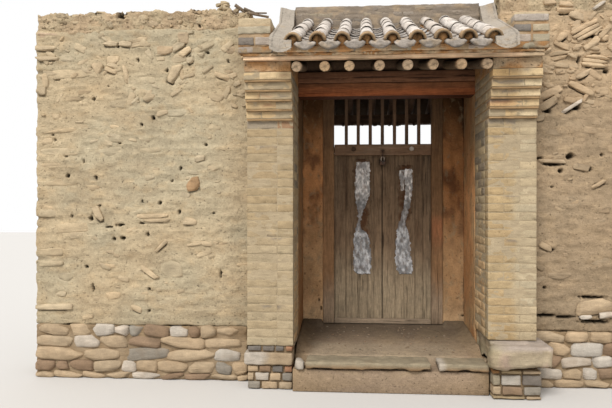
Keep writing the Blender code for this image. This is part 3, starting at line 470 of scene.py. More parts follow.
class Finish:
    """A material that lays noise over the tint painted on a piece."""

    def __init__(self, name, roughness, gloss=0.15):
        self.material = bpy.data.materials.new(name)
        self.material.use_nodes = True
        self.tree = self.material.node_tree
        self.shader = self.tree.nodes["Principled BSDF"]
        self.shader.inputs["Roughness"].default_value = roughness
        self.shader.inputs["Specular IOR Level"].default_value = gloss
        painted = self.tree.nodes.new("ShaderNodeAttribute")
        painted.attribute_name = "tint"
        self.colour = painted.outputs["Color"]
        own = self.tree.nodes.new("ShaderNodeTexCoord").outputs["Object"]
        shift = self.node("ShaderNodeVectorMath", (31.0, 17.0, 23.0), None, None, painted.outputs["Alpha"],
                          operation="SCALE")
        self.place = self.node("ShaderNodeVectorMath", own, shift, operation="ADD")
        self.normal = None

    def node(self, kind, *values, **settings):
        made = self.tree.nodes.new(kind)
        for setting, value in settings.items():
            setattr(made, setting, value)
        for socket, value in zip(made.inputs, values):
            if isinstance(value, bpy.types.NodeSocket):
                self.tree.links.new(value, socket)
            elif value is not None:
                socket.default_value = value
        return made.outputs[0]

    def noise(self, scale, detail=3.0, stretch=None, distortion=0.0):
        place = self.place
        if stretch:
            place = self.node("ShaderNodeVectorMath", place, stretch, operation="MULTIPLY")
        made = self.tree.nodes.new("ShaderNodeTexNoise")
        self.tree.links.new(place, made.inputs["Vector"])
        made.inputs["Scale"].default_value = scale
        made.inputs["Detail"].default_value = detail
        made.inputs["Roughness"].default_value = 0.62
        made.inputs["Distortion"].default_value = distortion
        return made.outputs["Fac"]

    def spread(self, value, low, high, new_low=0.0, new_high=1.0):
        return self.node("ShaderNodeMapRange", value, low, high, new_low, new_high)

    def shade(self, value, dark, light, low=0.3, high=0.7):
        """Multiplies the colour by a number from dark to light."""
        amount = self.spread(value, low, high, dark, light)
        self.colour = self.node("ShaderNodeVectorMath", self.colour, None, None, amount, operation="SCALE")

    def tinge(self, value, low, high, tone, most):
        """Mixes the colour towards a tone, up to a share, where the value is high."""
        share = self.spread(value, low, high, 0.0, most)
        made = self.tree.nodes.new("ShaderNodeMix")
        made.data_type = "RGBA"
        self.tree.links.new(share, made.inputs[0])
        self.tree.links.new(self.colour, made.inputs[6])
        made.inputs[7].default_value = (*tone, 1.0)
        self.colour = made.outputs[2]

    def bump(self, height, distance):
        made = self.tree.nodes.new("ShaderNodeBump")
        made.inputs["Strength"].default_value = 1.0
        made.inputs["Distance"].default_value = distance
        self.tree.links.new(height, made.inputs["Height"])
        if self.normal:
            self.tree.links.new(self.normal, made.inputs["Normal"])
        self.normal = made.outputs["Normal"]

    def done(self):
        self.tree.links.new(self.colour, self.shader.inputs["Base Color"])
        if self.normal:
            self.tree.links.new(self.normal, self.shader.inputs["Normal"])
        return self.material


def earthen(name, blotch=0.08, grain=0.12, speck=0.16, relief=0.006, straw=True):
    """Mud, plaster and earth: blotches, crumbs, straw marks and small pits."""
    made = Finish(name, 0.95, 0.08)
    made.shade(made.noise(2.6, 4.0), 1 - blotch, 1 + blotch)
    crumbs = made.noise(26.0, 5.0)
    made.shade(crumbs, 1 - grain, 1 + grain)
    fine = made.noise(130.0, 3.0)
    made.shade(fine, 1 - speck, 1 + speck)
    # Painted shade: the colour is darkened in the small pits that the bump sinks
    pits = made.noise(52.0, 2.0)
    made.shade(pits, 0.6, 1.0, 0.27, 0.34)
    made.bump(crumbs, relief * 2.2)
    made.bump(fine, relief * 0.5)
    made.bump(made.spread(pits, 0.24, 0.36), relief * 0.7)
    if straw:
        stalks = made.noise(95.0, 1.0, (0.10, 1.0, 1.0), 0.6)
        made.shade(stalks, 1.0, 1.22, 0.63, 0.72)
        made.bump(stalks, relief * 0.35)
    return made.done()


def fired(name, speck=0.14, wear=0.12):
    """Brick and tile: mottled, sandy, a little pitted and streaked along its beds."""
    relief = 0.0035
    made = Finish(name, 0.93, 0.1)
    made.shade(made.noise(9.0, 3.0), 1 - wear, 1 + wear * 0.7)
    beds = made.noise(42.0, 3.0, (0.22, 0.22, 1.0), 0.5)
    made.shade(beds, 1 - wear, 1 + wear)
    sand = made.noise(160.0, 3.0)
    made.shade(sand, 1 - speck, 1 + speck)
    # Painted shade: the colour is darkened in the pits that the bump sinks
    pits = made.noise(48.0, 3.0)
    made.shade(pits, 0.62, 1.0, 0.28, 0.38)
    made.bump(beds, relief * 1.2)
    made.bump(pits, relief)
    made.bump(sand, relief * 0.5)
    return made.done()


def rocky(name):
    """Field stone: bedded, stained and rough."""
    made = Finish(name, 0.9, 0.15)
    made.shade(made.noise(7.0, 4.0), 0.80, 1.14)
    beds = made.noise(22.0, 4.0, (0.35, 0.35, 1.6), 0.4)
    made.shade(beds, 0.84, 1.12)
    made.tinge(made.noise(5.0, 2.0), 0.55, 0.75, (0.26, 0.17, 0.095), 0.3)
    sand = made.noise(120.0, 4.0)
    made.shade(sand, 0.86, 1.12)
    made.bump(beds, 0.008)
    made.bump(sand, 0.003)
    return made.done()


def wooden(name, along, contrast=0.3):
    """Weathered timber with its grain along an axis: fibres, bands and drying cracks."""
    relief = 0.003
    made = Finish(name, 0.82, 0.2)
    thin = tuple(0.05 if axis == along else 1.0 for axis in range(3))
    fibres = made.noise(190.0, 3.0, thin, 0.3)
    bands = made.noise(30.0, 3.0, thin, 0.8)
    patches = made.noise(6.0, 4.0)
    made.shade(bands, 1 - contrast * 0.6, 1 + contrast * 0.5)
    made.shade(fibres, 1 - contrast, 1 + contrast)
    made.shade(patches, 0.82, 1.16)
    # Painted shade: the colour is darkened in the drying cracks that the bump sinks
    cracks = made.noise(60.0, 2.0, tuple(value * 0.5 if value < 1 else value for value in thin), 0.4)
    made.shade(cracks, 0.35, 1.0, 0.27, 0.34)
    grime = made.noise(30.0, 5.0)
    made.shade(grime, 0.88, 1.10)
    made.bump(fibres, relief)
    made.bump(bands, relief)
    made.bump(made.spread(cracks, 0.25, 0.36), relief * 1.6)
    return made.done()


def rusty_iron():
    """Forged iron with patches of rust."""
    made = Finish("forged_iron", 0.55, 0.5)
    made.shader.inputs["Metallic"].default_value = 0.25
    made.tinge(made.noise(60.0, 5.0), 0.42, 0.62, (0.16, 0.07, 0.03), 0.7)
    made.shade(made.noise(220.0, 2.0), 0.7, 1.3)
    made.bump(made.noise(180.0, 3.0), 0.001)
    return made.done()


def pasted_paper():
    """Old paper, mottled, browned and folded."""
    made = Finish("pasted_paper", 0.8, 0.2)
    made.shade(made.noise(38.0, 4.0, (1.0, 1.0, 0.5)), 0.62, 1.3)
    made.tinge(made.noise(34.0, 5.0, (1.2, 1.0, 0.6), 0.5), 0.58, 0.66, (0.15, 0.105, 0.07), 0.8)
    # Painted shade: the paper is darkened where its folds sink
    folds = made.noise(70.0, 3.0, (1.0, 1.0, 0.3))
    made.shade(folds, 0.7, 1.0, 0.3, 0.4)
    made.bump(folds, 0.003)
    return made.done()


def stained_plaster():
    """Rain-streaked, blotchy plaster of the passage."""
    made = Finish("stained_plaster", 0.94, 0.08)
    made.shade(made.noise(7.0, 5.0, (1.0, 1.0, 0.6), 0.3), 0.72, 1.24)
    made.tinge(made.noise(11.0, 5.0, (1.0, 1.0, 0.7), 0.3), 0.54, 0.64, (0.235, 0.175, 0.105), 0.55)
    made.tinge(made.noise(24.0, 5.0), 0.60, 0.66, (0.10, 0.05, 0.025), 0.6)
    crumbs = made.noise(60.0, 5.0)
    made.shade(crumbs, 0.82, 1.14)
    made.bump(crumbs, 0.006)
    return made.done()


@lru_cache(maxsize=None)
def finish(kind, along=0):
    """The one material of each kind, made when it is first asked for."""
    makers = {
        "mud": lambda: earthen("mud_plaster"),
        "clods": lambda: earthen("mud_clods", blotch=0.12, grain=0.18, relief=0.009),
        "earth": lambda: earthen("packed_earth", blotch=0.12, relief=0.005),
        "stain": stained_plaster,
        "lime": lambda: earthen("lime_plaster", blotch=0.10, speck=0.12, relief=0.004, straw=False),
        "brick": lambda: fired("weathered_brick"),
        "tile": lambda: fired("weathered_tile", speck=0.2, wear=0.22),
        "stone": lambda: rocky("field_stone"),
        "door": lambda: wooden("door_planks", along, 0.34),
        "dark_wood": lambda: wooden(f"dark_timber_{along}", along),
        "red_wood": lambda: wooden("red_timber", along, 0.34),
        "pale_wood": lambda: wooden(f"pale_timber_{along}", along, 0.2),
        "iron": rusty_iron,
        "paper": pasted_paper,
    }
    return makers[kind]()


# Brickwork

SHORTEST_BRICK = 0.06


def brick(pile, low, high, tint, wear=None, step=0.04):
    """One worn brick between two corners."""
    wear = masonry().brick_wear if wear is None else wear
    fine = (0.028, 0.06, 0.009) if callable(tint) else step
    points, facing, quads = block(low, high, fine, 0.004)
    tints = tint(points) if callable(tint) else np.broadcast_to(tint, points.shape)
    seed = pile.new_seed()
    mottle = 1 + 0.14 * rough(points + seed * 0.01, (0.08, 0.08, 0.014), seed + 1, 2)
    points = points + facing * (wear * (rough(points + seed * 0.01, 0.05, seed, 2) - 0.3))[:, None]
    pile.add(points, quads, tints * mottle[:, None])


def drawn_in(points):
    """Places on the front slope, with the rows of tiles drawn together towards the ridge."""
    shift = ROW_DRAW * (points[:, 0] - ROW_DRAW_MIDDLE) * points[:, 1]
    return on_front(points - np.stack([shift, 0 * shift, 0 * shift], axis=1))


def course(pile, low, high, tone, half_first):
    """One course of bricks round a box: along its front, then down its left and its right side."""
    sizes = masonry()
    depth = sizes.brick_depth
    joint = sizes.joint
    low = np.asarray(low, float)
    high = np.asarray(high, float)
    for side in "flr":
        along, across = (0, 1) if side == "f" else (1, 0)
        start = low[along] + (depth + joint if along == 1 else 0)
        end = high[along]
        length = sizes.brick_length * (0.5 if half_first else 1.0)
        place = start
        while place < end - SHORTEST_BRICK / 2:
            stop = place + length
            if end - stop < SHORTEST_BRICK:
                stop = end
            first = low.copy()
            last = high.copy()
            first[along] = place + (joint / 4 if place > start else 0)
            last[along] = stop - (joint / 4 if stop < end else 0)
            slip = pile.draw(-0.0015, 0.0025)
            if side == "r":
                first[across] = high[across] - depth
                last[across] += slip
            else:
                last[across] = low[across] + depth
                first[across] -= slip
            first[2] += joint / 2
            last[2] -= joint / 2
            brick(pile, first, last, tone((first + last) / 2, side, pile))
            place = stop
            length = sizes.brick_length


def mortar_core(pile, low, high):
    """The mortar behind the bricks, flush in places and washed out in others."""
    recess = masonry().mortar_recess
    low = np.asarray(low, float) + (recess, recess, 0)
    high = np.asarray(high, float) - (recess, recess, 0)
    points, facing, quads = block(low, high, 0.022, 0.002)
    points = points + facing * (0.0036 * rough(points, (0.16, 0.16, 0.04), 5, 3))[:, None]
    pile.add(points, quads, colour("mortar") * (1 + 0.08 * rough(points, 0.06, 6, 2))[:, None], apart=False)


# Mud and stone


def mud_mass(pile, low, high, step, relief, tint, seed, rounding=0.015, bend=None, bands=0.0, scale=0.35):
    """A block of hand-laid mud: lumpy, with faint beds where flat stones lie under it."""
    points, facing, quads = block(low, high, step, rounding)
    swell = relief * (rough(points, scale, seed, 3) + 0.55 * rough(points, scale * 0.16, seed + 9, 3))
    if bands:
        beds = np.tanh(8 * rough(points, (0.17, 0.17, 0.05), seed + 20, 2))
        swell = swell + bands * beds
    points = points + facing * swell[:, None]
    tints = tint(points) if callable(tint) else np.broadcast_to(tint, points.shape)
    if bands:
        tints = tints * (1 + 0.045 * beds)[:, None]
    if bend:
        points, tints = bend(points, facing, tints)
    pile.add(points, quads, tints, apart=False)


def laid_between(foot_line, top_line):
    """A bend that lays a block of unit height between two lines over the depth."""

    def bend(points, facing, tints):
        foot = foot_line(points[:, 1])
        points[:, 2] = foot + points[:, 2] * (top_line(points[:, 1]) - foot)
        return points, tints

    return bend


# Marks on the courtyard walls, as pixels of the photograph. A stone has its middle across and up, width,
# height, turn in degrees, how many metres it stands out, and its tone where that isn't plain stone. A hole
# has its middle across and up, width and height.
LEFT_WALL_STONES = (
    (174.5, 73, 11, 22, -24, 0.022), (185, 52, 15, 7, 40, 0.020),
    (190, 60.5, 8, 6, 25, 0.020), (110, 43.5, 16, 6, 2, 0.018),
    (125.5, 44, 13, 6, -10, 0.018), (113, 60, 14, 7, 0, 0.016),
    (223, 76.5, 20, 5, -22, 0.016), (153, 218, 32, 9, 2, 0.012),
    (189.5, 221, 15, 8, 0, 0.013), (98, 214, 8, 17, 24, 0.018),
    (172, 269, 26, 20, 4, 0.007), (148.5, 272, 24, 4.5, -34, 0.014),
    (161, 246, 18, 4, 42, 0.014), (136.5, 308.5, 14, 6, -20, 0.014),
    (50, 264, 28, 7, 0, 0.010), (54, 306.5, 40, 6, 1, 0.020),
    (140, 81, 34, 9, 3, 0.010), (126, 74, 5, 18, 14, 0.014),
    (98, 66, 12, 14, 35, 0.012), (112, 68, 14, 11, -20, 0.014),
    (178, 46, 18, 8, 30, 0.012), (165, 50, 16, 10, 0, 0.012, "clod"),
    (204, 47, 24, 7, 25, 0.010), (183, 38, 12, 12, 0, 0.014, "clod"),
    (150, 96, 10, 15, -35, 0.012), (70, 74, 44, 13, 2, 0.009),
    (46, 48.5, 22, 5, -2, 0.020), (47, 58.5, 24, 4.5, 2, 0.022),
    (70, 99, 34, 6, -4, 0.010), (41, 91, 11, 9, 0, 0.012),
    (58, 131, 44, 6, 4, 0.010), (60, 152, 46, 8, 0, 0.009),
    (108, 152, 34, 8, 6, 0.009), (52, 166, 24, 7, 3, 0.011),
    (62, 182, 40, 9, 2, 0.009), (92, 188, 18, 6, 0, 0.010),
    (176, 113, 24, 8, 2, 0.009), (112, 138, 30, 8, -3, 0.008),
    (150, 150, 26, 5, 3, 0.010), (200, 158, 12, 6, 15, 0.012),
    (72, 229, 40, 14, 2, 0.008), (50, 252, 30, 9, 0, 0.009),
    (66, 277, 16, 9, 0, 0.009), (204, 254, 18, 6, 18, 0.009),
    (168, 301, 24, 8, 2, 0.008), (212, 256, 10, 5, 24, 0.009),
    (138, 42, 20, 9, 10, 0.012), (230, 50, 14, 8, 0, 0.010, "clod"),
    (86, 92, 20, 7, 5, 0.010), (48, 213, 24, 8, 0, 0.009),
    (118, 104, 22, 9, 0, 0.008), (215, 126, 16, 9, -6, 0.007),
    (193, 184, 15, 14, 12, 0.016, "brown_stone"),
)
LEFT_WALL_HOLES = (
    (207, 52, 4, 3), (93, 67, 2.5, 3), (103, 67, 2.5, 2.5), (167, 70, 2, 4), (173, 82, 2, 2),
    (109, 86, 2, 1.5), (78, 99, 5, 3.5), (94, 99, 3, 3), (153, 118, 4, 4), (142, 125, 2.5, 3),
    (52, 135, 2.5, 2.5), (55, 140, 1.5, 2.5), (120, 143, 4, 1.4), (206, 145, 2, 3), (66, 156, 3, 1.4),
    (84, 161, 1.4, 4), (180, 168, 2.6, 4), (68, 176, 4, 4), (96, 178, 2.6, 4), (172, 181, 2.4, 2.4),
    (99, 206, 2.4, 1.4), (179, 212, 2.8, 4.5), (213, 213, 3, 2.4), (72, 216, 2, 2.6), (91, 218, 4, 5),
    (142, 223, 5, 2), (120, 225, 10, 2), (109, 227, 7, 1.6), (148, 234, 2, 5), (114, 239, 3, 4),
    (123, 238, 5, 3), (86, 267, 3, 3), (93, 287, 2, 9), (149, 289, 2.4, 2.4), (149, 311, 2.4, 2.4),
    (221, 274, 1.4, 9), (58, 79, 8, 1.6), (118, 46, 2, 4), (138, 60, 1.4, 5), (190, 57, 2, 3),
    (228, 61, 1.6, 3), (142, 201, 1.4, 3), (160, 203, 3, 3),
)
RIGHT_WALL_STONES = (
    (586.5, 30.5, 30, 13, 26, 0.030), (561, 37, 13, 8, 40, 0.022),
    (604, 37, 12, 8, 0, 0.018), (595, 61.5, 26, 12, -6, 0.030),
    (583, 74.5, 19, 6, 30, 0.024), (581, 88.5, 28, 7, -30, 0.024),
    (572, 106.5, 27, 4, 33, 0.030, "white_stone"), (550, 93, 24, 8, 28, 0.022),
    (548, 104, 22, 8, 30, 0.020), (552, 161, 26, 4, -3, 0.020),
    (581, 167, 18, 7, -12, 0.014), (599, 184, 18, 4, 30, 0.014),
    (546, 247, 14, 6, -30, 0.012), (594, 307, 38, 16, 6, 0.020, "clod"),
    (606, 315, 16, 6, 8, 0.034, "white_stone"), (585, 317, 13, 4, 0, 0.030, "white_stone"),
    (550, 2, 12, 6, 0, 0.022), (566, 7, 16, 11, 0, 0.026),
    (599, 5, 17, 3.5, 36, 0.030, "white_stone"), (540, 178, 12, 7, 0, 0.010),
    (560, 55, 20, 9, 10, 0.012), (545, 68, 18, 9, -10, 0.012),
    (600, 92, 18, 8, 10, 0.014), (556, 132, 24, 9, 4, 0.008),
    (590, 130, 22, 8, -6, 0.008), (566, 200, 26, 9, 4, 0.007),
    (596, 220, 24, 8, 0, 0.007), (560, 276, 26, 8, 0, 0.008),
    (600, 262, 22, 10, 0, 0.008), (541, 268, 10, 5, -30, 0.010),
    (578, 16, 18, 8, -20, 0.014), (540, 118, 10, 6, 10, 0.014),
)
RIGHT_WALL_HOLES = (
    (570, 156, 7, 7), (560, 171, 4, 4), (602, 155, 3, 4), (540, 158, 7, 2), (553, 164.5, 22, 2),
    (575, 107, 9, 5), (548, 111, 7, 5), (579, 60, 3, 9), (589, 36, 20, 3), (600, 184, 14, 2), (606, 71, 6, 4),
    (580, 86, 10, 3), (545, 315.5, 20, 3.5), (565, 317, 20, 3), (579, 312, 6, 6), (595, 322, 30, 3),
    (552, 187, 2, 2), (590, 169, 4, 3), (552, 250, 6, 3), (545, 288, 3, 3), (592, 297.5, 28, 2),
    (559, 8, 4, 8), (566, 14, 14, 2.5), (541, 4, 4, 6), (541, 47, 3, 5), (596, 55, 12, 3),
)
CAP_HOLES = ((98, 14, 5, 3), (122, 15, 10, 8), (197, 12, 6, 3), (200, 24, 5, 5), (143, 16, 4, 3),
             (60, 17, 4, 3))
HOLE_DEPTH = 0.06
# The share of a mark's size that the hole itself takes up
HOLE_SHARE = 0.85
LEFT_WALL_SEED = 11
# A stone that stands out less than this lies flush in the mud and takes on its colour
FLUSH = 0.0115


def photo_marks(marks, depth):
    """Middles and half sizes, in metres, of marks given in pixels."""
    placed = []
    for across, up, width, height in marks:
        x, z, scale = photo_place(across, up, depth)
        placed.append((x, z, HOLE_SHARE * width / scale / 2, HOLE_SHARE * height / scale / 2))
    return placed


def pitted(holes, depth=HOLE_DEPTH):
    """A bend that sinks holes into the front of a wall, darkened inside them as painted shade."""

    def bend(points, facing, tints):
        front = facing[:, 1] < -0.5
        tints = np.array(tints)
        wander = 0.45 * noise(points, 0.016, 3)
        for x, z, half_width, half_height in holes:
            reach = np.sqrt(((points[:, 0] - x) / (half_width + 0.001)) ** 2
                            + ((points[:, 2] - z) / (half_height + 0.001)) ** 2)
            sink = np.where(front, 1 - smooth(reach + wander, 0.7, 1.35), 0)
            points[:, 1] += depth * sink
            # Painted shade: the mud darkens the deeper it lies in a hole
            tints *= (1 - 0.9 * sink)[:, None]
        return points, tints

    return bend


def wall_tint(brown):
    """The mud's colours over a wall: tan, greyer patches and browner ones."""

    def tint(points):
        broad = rough(points, 0.7, 31, 3)
        patch = rough(points, (0.4, 0.4, 0.16), 47, 3)
        tone = blend(colour("mud"), colour("mud_grey"), smooth(broad, -0.3, 0.4))
        tone = blend(tone, colour("mud_brown"), brown + (1 - brown) * 0.30 * smooth(patch, 0.05, 0.5))
        warm = rough(points, (0.10, 0.10, 0.05), 61, 3)
        tone = blend(tone, colour("mud") * (1.06, 0.97, 0.87), 0.34 * smooth(warm, 0.05, 0.40))
        return tone * (1 + 0.06 * rough(points, 0.05, 53, 2))[:, None]

    return tint


def set_stones(pile, stones, depth, tints):
    """Flat bedded stones set in the front of a wall, each at its place in the photograph."""
    thickness = 0.07
    for across, up, width, height, turn, proud, *other in stones:
        tone = other[0] if other else "stone"
        x, z, scale = photo_place(across, up, depth)
        plain = proud < FLUSH
        proud = proud * 0.55 if plain else proud
        centre = np.array((x, depth + thickness / 2 - proud, z))
        angle = math.radians(-turn)
        mix = (0.9 if plain else 0.55) if tone == "stone" else 0.1
        base = blend(colour(tone), tints(np.array([[x, depth, z]]))[0], mix)
        # Stones that stand out more are made paler: partly their own paler tone, partly painted light on
        # faces that catch the sun
        base = base * (1 if plain else 1 + min(0.2, proud * 7))
        parted = not plain and height > 8 and width > 12 and tone == "stone"
        layers = max(1, round(height / 4.5)) if parted else 1
        tall = height / scale / layers
        for layer in range(layers):
            shift = pile.draw((-0.05, -0.006, 0), (0.05, 0.006, 0)) * (width / scale, 1, 0) * (layers > 1)
            size = (width / scale * pile.draw(0.88, 1.04), thickness, tall * pile.draw(0.9, 1.12))
            middle = centre + turned(shift + (0, 0, (layer - (layers - 1) / 2) * tall), (0, angle, 0), 0)
            lean = angle + pile.chance.normal(0, 0.02) * (layers > 1)
            points, quads = stone(middle, size, pile.chance, (0, lean, 0), 5 if plain else 9, 9,
                                  0.08 if plain else 0.07, 7)
            lying = turned(points, (0, -angle, 0), centre)
            bed = noise(lying, (0.25, 0.25, 0.010), int(across))
            crumbs = rough(lying, 0.02, int(up), 2)
            worn = 1.10 + 0.13 * crumbs - 0.26 * smooth(bed, 0.3, 0.6)
            pile.add(points, quads, pile.varied(base, 0.06) * worn[:, None])


def undercut(points, stones, depth):
    """How much of the hollow under a set stone, sunk and darkened as its painted shadow, lies at each place
    of the wall's front.
    """
    hollow = np.zeros(len(points))
    for across, up, width, height, turn, proud, *_ in stones:
        if proud < FLUSH:
            continue
        x, z, scale = photo_place(across, up, depth)
        angle = math.radians(turn)
        along = (points[:, 0] - x) * math.cos(angle) + (points[:, 2] - z) * math.sin(angle)
        over = (points[:, 2] - z) * math.cos(angle) - (points[:, 0] - x) * math.sin(angle)
        reach = width / scale / 2 * (0.75 + 0.3 * noise(points, 0.06, 5))
        inside = smooth(np.abs(along), reach, reach * 0.8) * smooth(over, -height / scale / 2 - 0.016,
                                                                    -height / scale / 2 - 0.004)
        hollow = np.maximum(hollow, inside * smooth(over, 0.004, -0.004) * min(1, proud * 45))
    return hollow


def scatter_stones(pile, low, high, face, facing, count, tints, size=(0.05, 0.22), turn=14,
                   proud=(0.004, 0.014), clear=()):
    """Half-buried stones over a stretch of one side of a wall, none of them over its holes."""
    for _ in range(count):
        x = pile.draw(low[0], high[0])
        z = pile.draw(low[1], high[1])
        width = size[0] + (size[1] - size[0]) * pile.draw() ** 1.6
        height = width * pile.draw(0.25, 0.65)
        centre = (x, face + facing * (0.025 - pile.draw(*proud)), z)
        points, quads = stone(centre, (width, 0.05, height), pile.chance,
                              (0, math.radians(pile.chance.normal(0, turn)), 0), 9, 7, 0.06, 7)
        tone = pile.varied(blend(colour("stone"), tints(np.array([centre]))[0], 0.7), 0.07) * 1.11
        if any(abs(x - a) < b + width / 2 and abs(z - c) < d + height / 2 for a, c, b, d in clear):
            continue
        pile.add(points, quads, tone)


# How many small stones are scattered over a wall: low and high on its front, high on a rubbly front, over
# the stretch past the photograph's edge, and over its back. Then over the rear end of a passage wall.
LOW_STONES = 70
HIGH_STONES = 90
RUBBLY_STONES = 260
HIDDEN_STONES = 45
BACK_STONES = 110
PASSAGE_STONES = 22


def courtyard_wall(name, seed, brown, stones, holes, hidden):
    """One length of mud wall with its stones. Hidden is the stretch past the photograph's edge."""
    low, high = corners(name)
    pile = Pile(seed)
    step = masonry().wall_step
    marks = photo_marks(holes, WALL_FRONT)
    sink = pitted(marks)
    outer = low[0] if seed == LEFT_WALL_SEED else None
    mud = wall_tint(brown)

    def tints(points):
        tone = mud(points)
        if outer is not None:
            shade = 1 - 0.13 * smooth(points[:, 0], -1.62, -1.40) - 0.04 * smooth(points[:, 2], 1.4, 1.0)
            return tone * shade[:, None]
        level = points[:, 2] + 0.1 * noise(points, 0.4, 21)
        shade = 0.96 - 0.12 * smooth(level, 1.7, 1.0) + 0.30 * smooth(level, 2.5, 3.1)
        return tone * shade[:, None] * (1, 1, 1.04)

    def bend(points, facing, tone):
        foot = smooth(points[:, 2], low[2] + 0.35, low[2])
        # Painted shadow: the mud under each standing stone is darkened, as well as sunk into a hollow
        hollow = undercut(points, stones, WALL_FRONT) * (facing[:, 1] < -0.5)
        tone = tone * ((1 - 0.12 * foot) * (1 - 0.8 * hollow))[:, None]
        points[:, 1] += 0.022 * hollow
        if outer is not None:
            near = smooth(points[:, 0], outer + 0.35, outer)
            layer = smooth(noise(points, (0.5, 0.5, 0.045), 91), 0.35, 0.7) * near
            points[:, 1] += 0.012 * layer * (facing[:, 1] < -0.5)
            points[:, 0] += 0.016 * layer * (facing[:, 0] < -0.3)
            # Painted shade: the recessed layers near the wall's ragged end are darkened
            tone = tone * (1 - 0.35 * layer)[:, None]
        return sink(points, facing, tone)

    mud_mass(pile, low, high, (step, 0.06, step), masonry().mud_relief, tints, seed, 0.015, bend, 0.0045)
    pile.make(name + "_mud", finish("mud"), [name])
    rubble = Pile(seed + 1)
    set_stones(rubble, stones, WALL_FRONT, tints)
    middle = low[2] + 0.7 * (high[2] - low[2])
    first, last = low[0] + 0.06, high[0] - 0.06
    scatter_stones(rubble, (first, low[2] + 0.06), (last, middle), WALL_FRONT, 1, LOW_STONES, tints,
                   (0.04, 0.15), 10, (0.002, 0.007), marks)
    scatter_stones(rubble, (first, middle), (last, high[2] - 0.03), WALL_FRONT, 1,
                   RUBBLY_STONES if hidden else HIGH_STONES, tints, (0.04, 0.16), 32,
                   (0.004, 0.022 if hidden else 0.014), marks)
    if hidden:
        scatter_stones(rubble, (hidden[0], low[2] + 0.1), (hidden[1], high[2] - 0.1), WALL_FRONT, 1,
                       HIDDEN_STONES, tints)
    scatter_stones(rubble, (first, low[2] + 0.1), (last, high[2] - 0.1), high[1], -1, BACK_STONES, tints)
    rubble.make(name + "_stones", finish("stone"))


class GATEWAY_OT_walls(bpy.types.Operator):
    """Lay the mud and the half-buried stones of both courtyard walls"""

    bl_idname = "gateway.walls"
    bl_label = "Courtyard walls"

    def execute(self, context):
        courtyard_wall("left_wall", LEFT_WALL_SEED, 0.0, LEFT_WALL_STONES, LEFT_WALL_HOLES, None)
        courtyard_wall("right_wall", 12, 0.72, RIGHT_WALL_STONES, RIGHT_WALL_HOLES, (2.25, 3.4))
        return {"FINISHED"}


# Sticks on and under the left wall's cap: pixels of both ends, and thickness in metres
CAP_STICKS = (
    (38, 34, 112, 37, 0.030), (40, 36.5, 78, 38.5, 0.022), (235, 5, 250, 14.5, 0.036),
    (244, 8.5, 258, 13.5, 0.028), (247, 13, 266, 11.5, 0.018), (249, 13.5, 268, 15.5, 0.026),
    (232, 11, 244, 19, 0.018),
)

# Streaks across the piers' bricks: pixels of both ends and of the height, thickness in pixels, and the tone
# where it isn't grey
PIER_STREAKS = (
    (256, 275, 96, 1.6, "red_brick"), (277, 290, 96.5, 1.8), (263, 291, 105, 1.8, "red_brick"),
    (253, 274, 113.6, 1.4), (278, 289, 113.4, 1.4), (251, 257, 77, 1.2),
    (253, 257, 87, 1.4), (253, 258, 106.5, 1.6), (280, 290, 75.5, 1.0, "red_brick"),
    (256, 278, 147, 0.9), (281, 289, 164, 0.9), (258, 272, 213, 0.9),
    (262, 283, 237, 0.8), (260, 284, 306, 0.8), (508, 533, 70, 1.0),
    (492, 524, 81.5, 3.2), (491, 520, 91.5, 2.2), (489, 512, 101.5, 3.6, "red_brick"),
    (489, 512, 100, 1.6), (488, 503, 111, 3.0), (506, 521, 110, 1.2),
    (488, 517, 121, 3.2), (524, 527, 100.5, 1.6), (489, 520, 136, 0.8),
    (504, 512, 161, 0.8), (504, 519, 196, 0.9), (490, 517, 240, 0.8),
)


def clod_row(pile, low, high, count, tint, size):
    """Clods heaped over a box, half buried in it."""
    for _ in range(count):
        place = pile.draw(low, high)
        width = pile.draw(*size)
        shape = width * pile.draw((0.8, 0.7, 0.45), (1.3, 1.1, 0.8))
        points, quads = stone(place, shape, pile.chance, pile.draw(-0.5, 0.5, 3), 3.4, 5, 0.16, 5)
        pile.add(points, quads, pile.varied(tint, 0.12))


CAP_FACE_STONES = 150
CAP_TOP_CLODS = 150


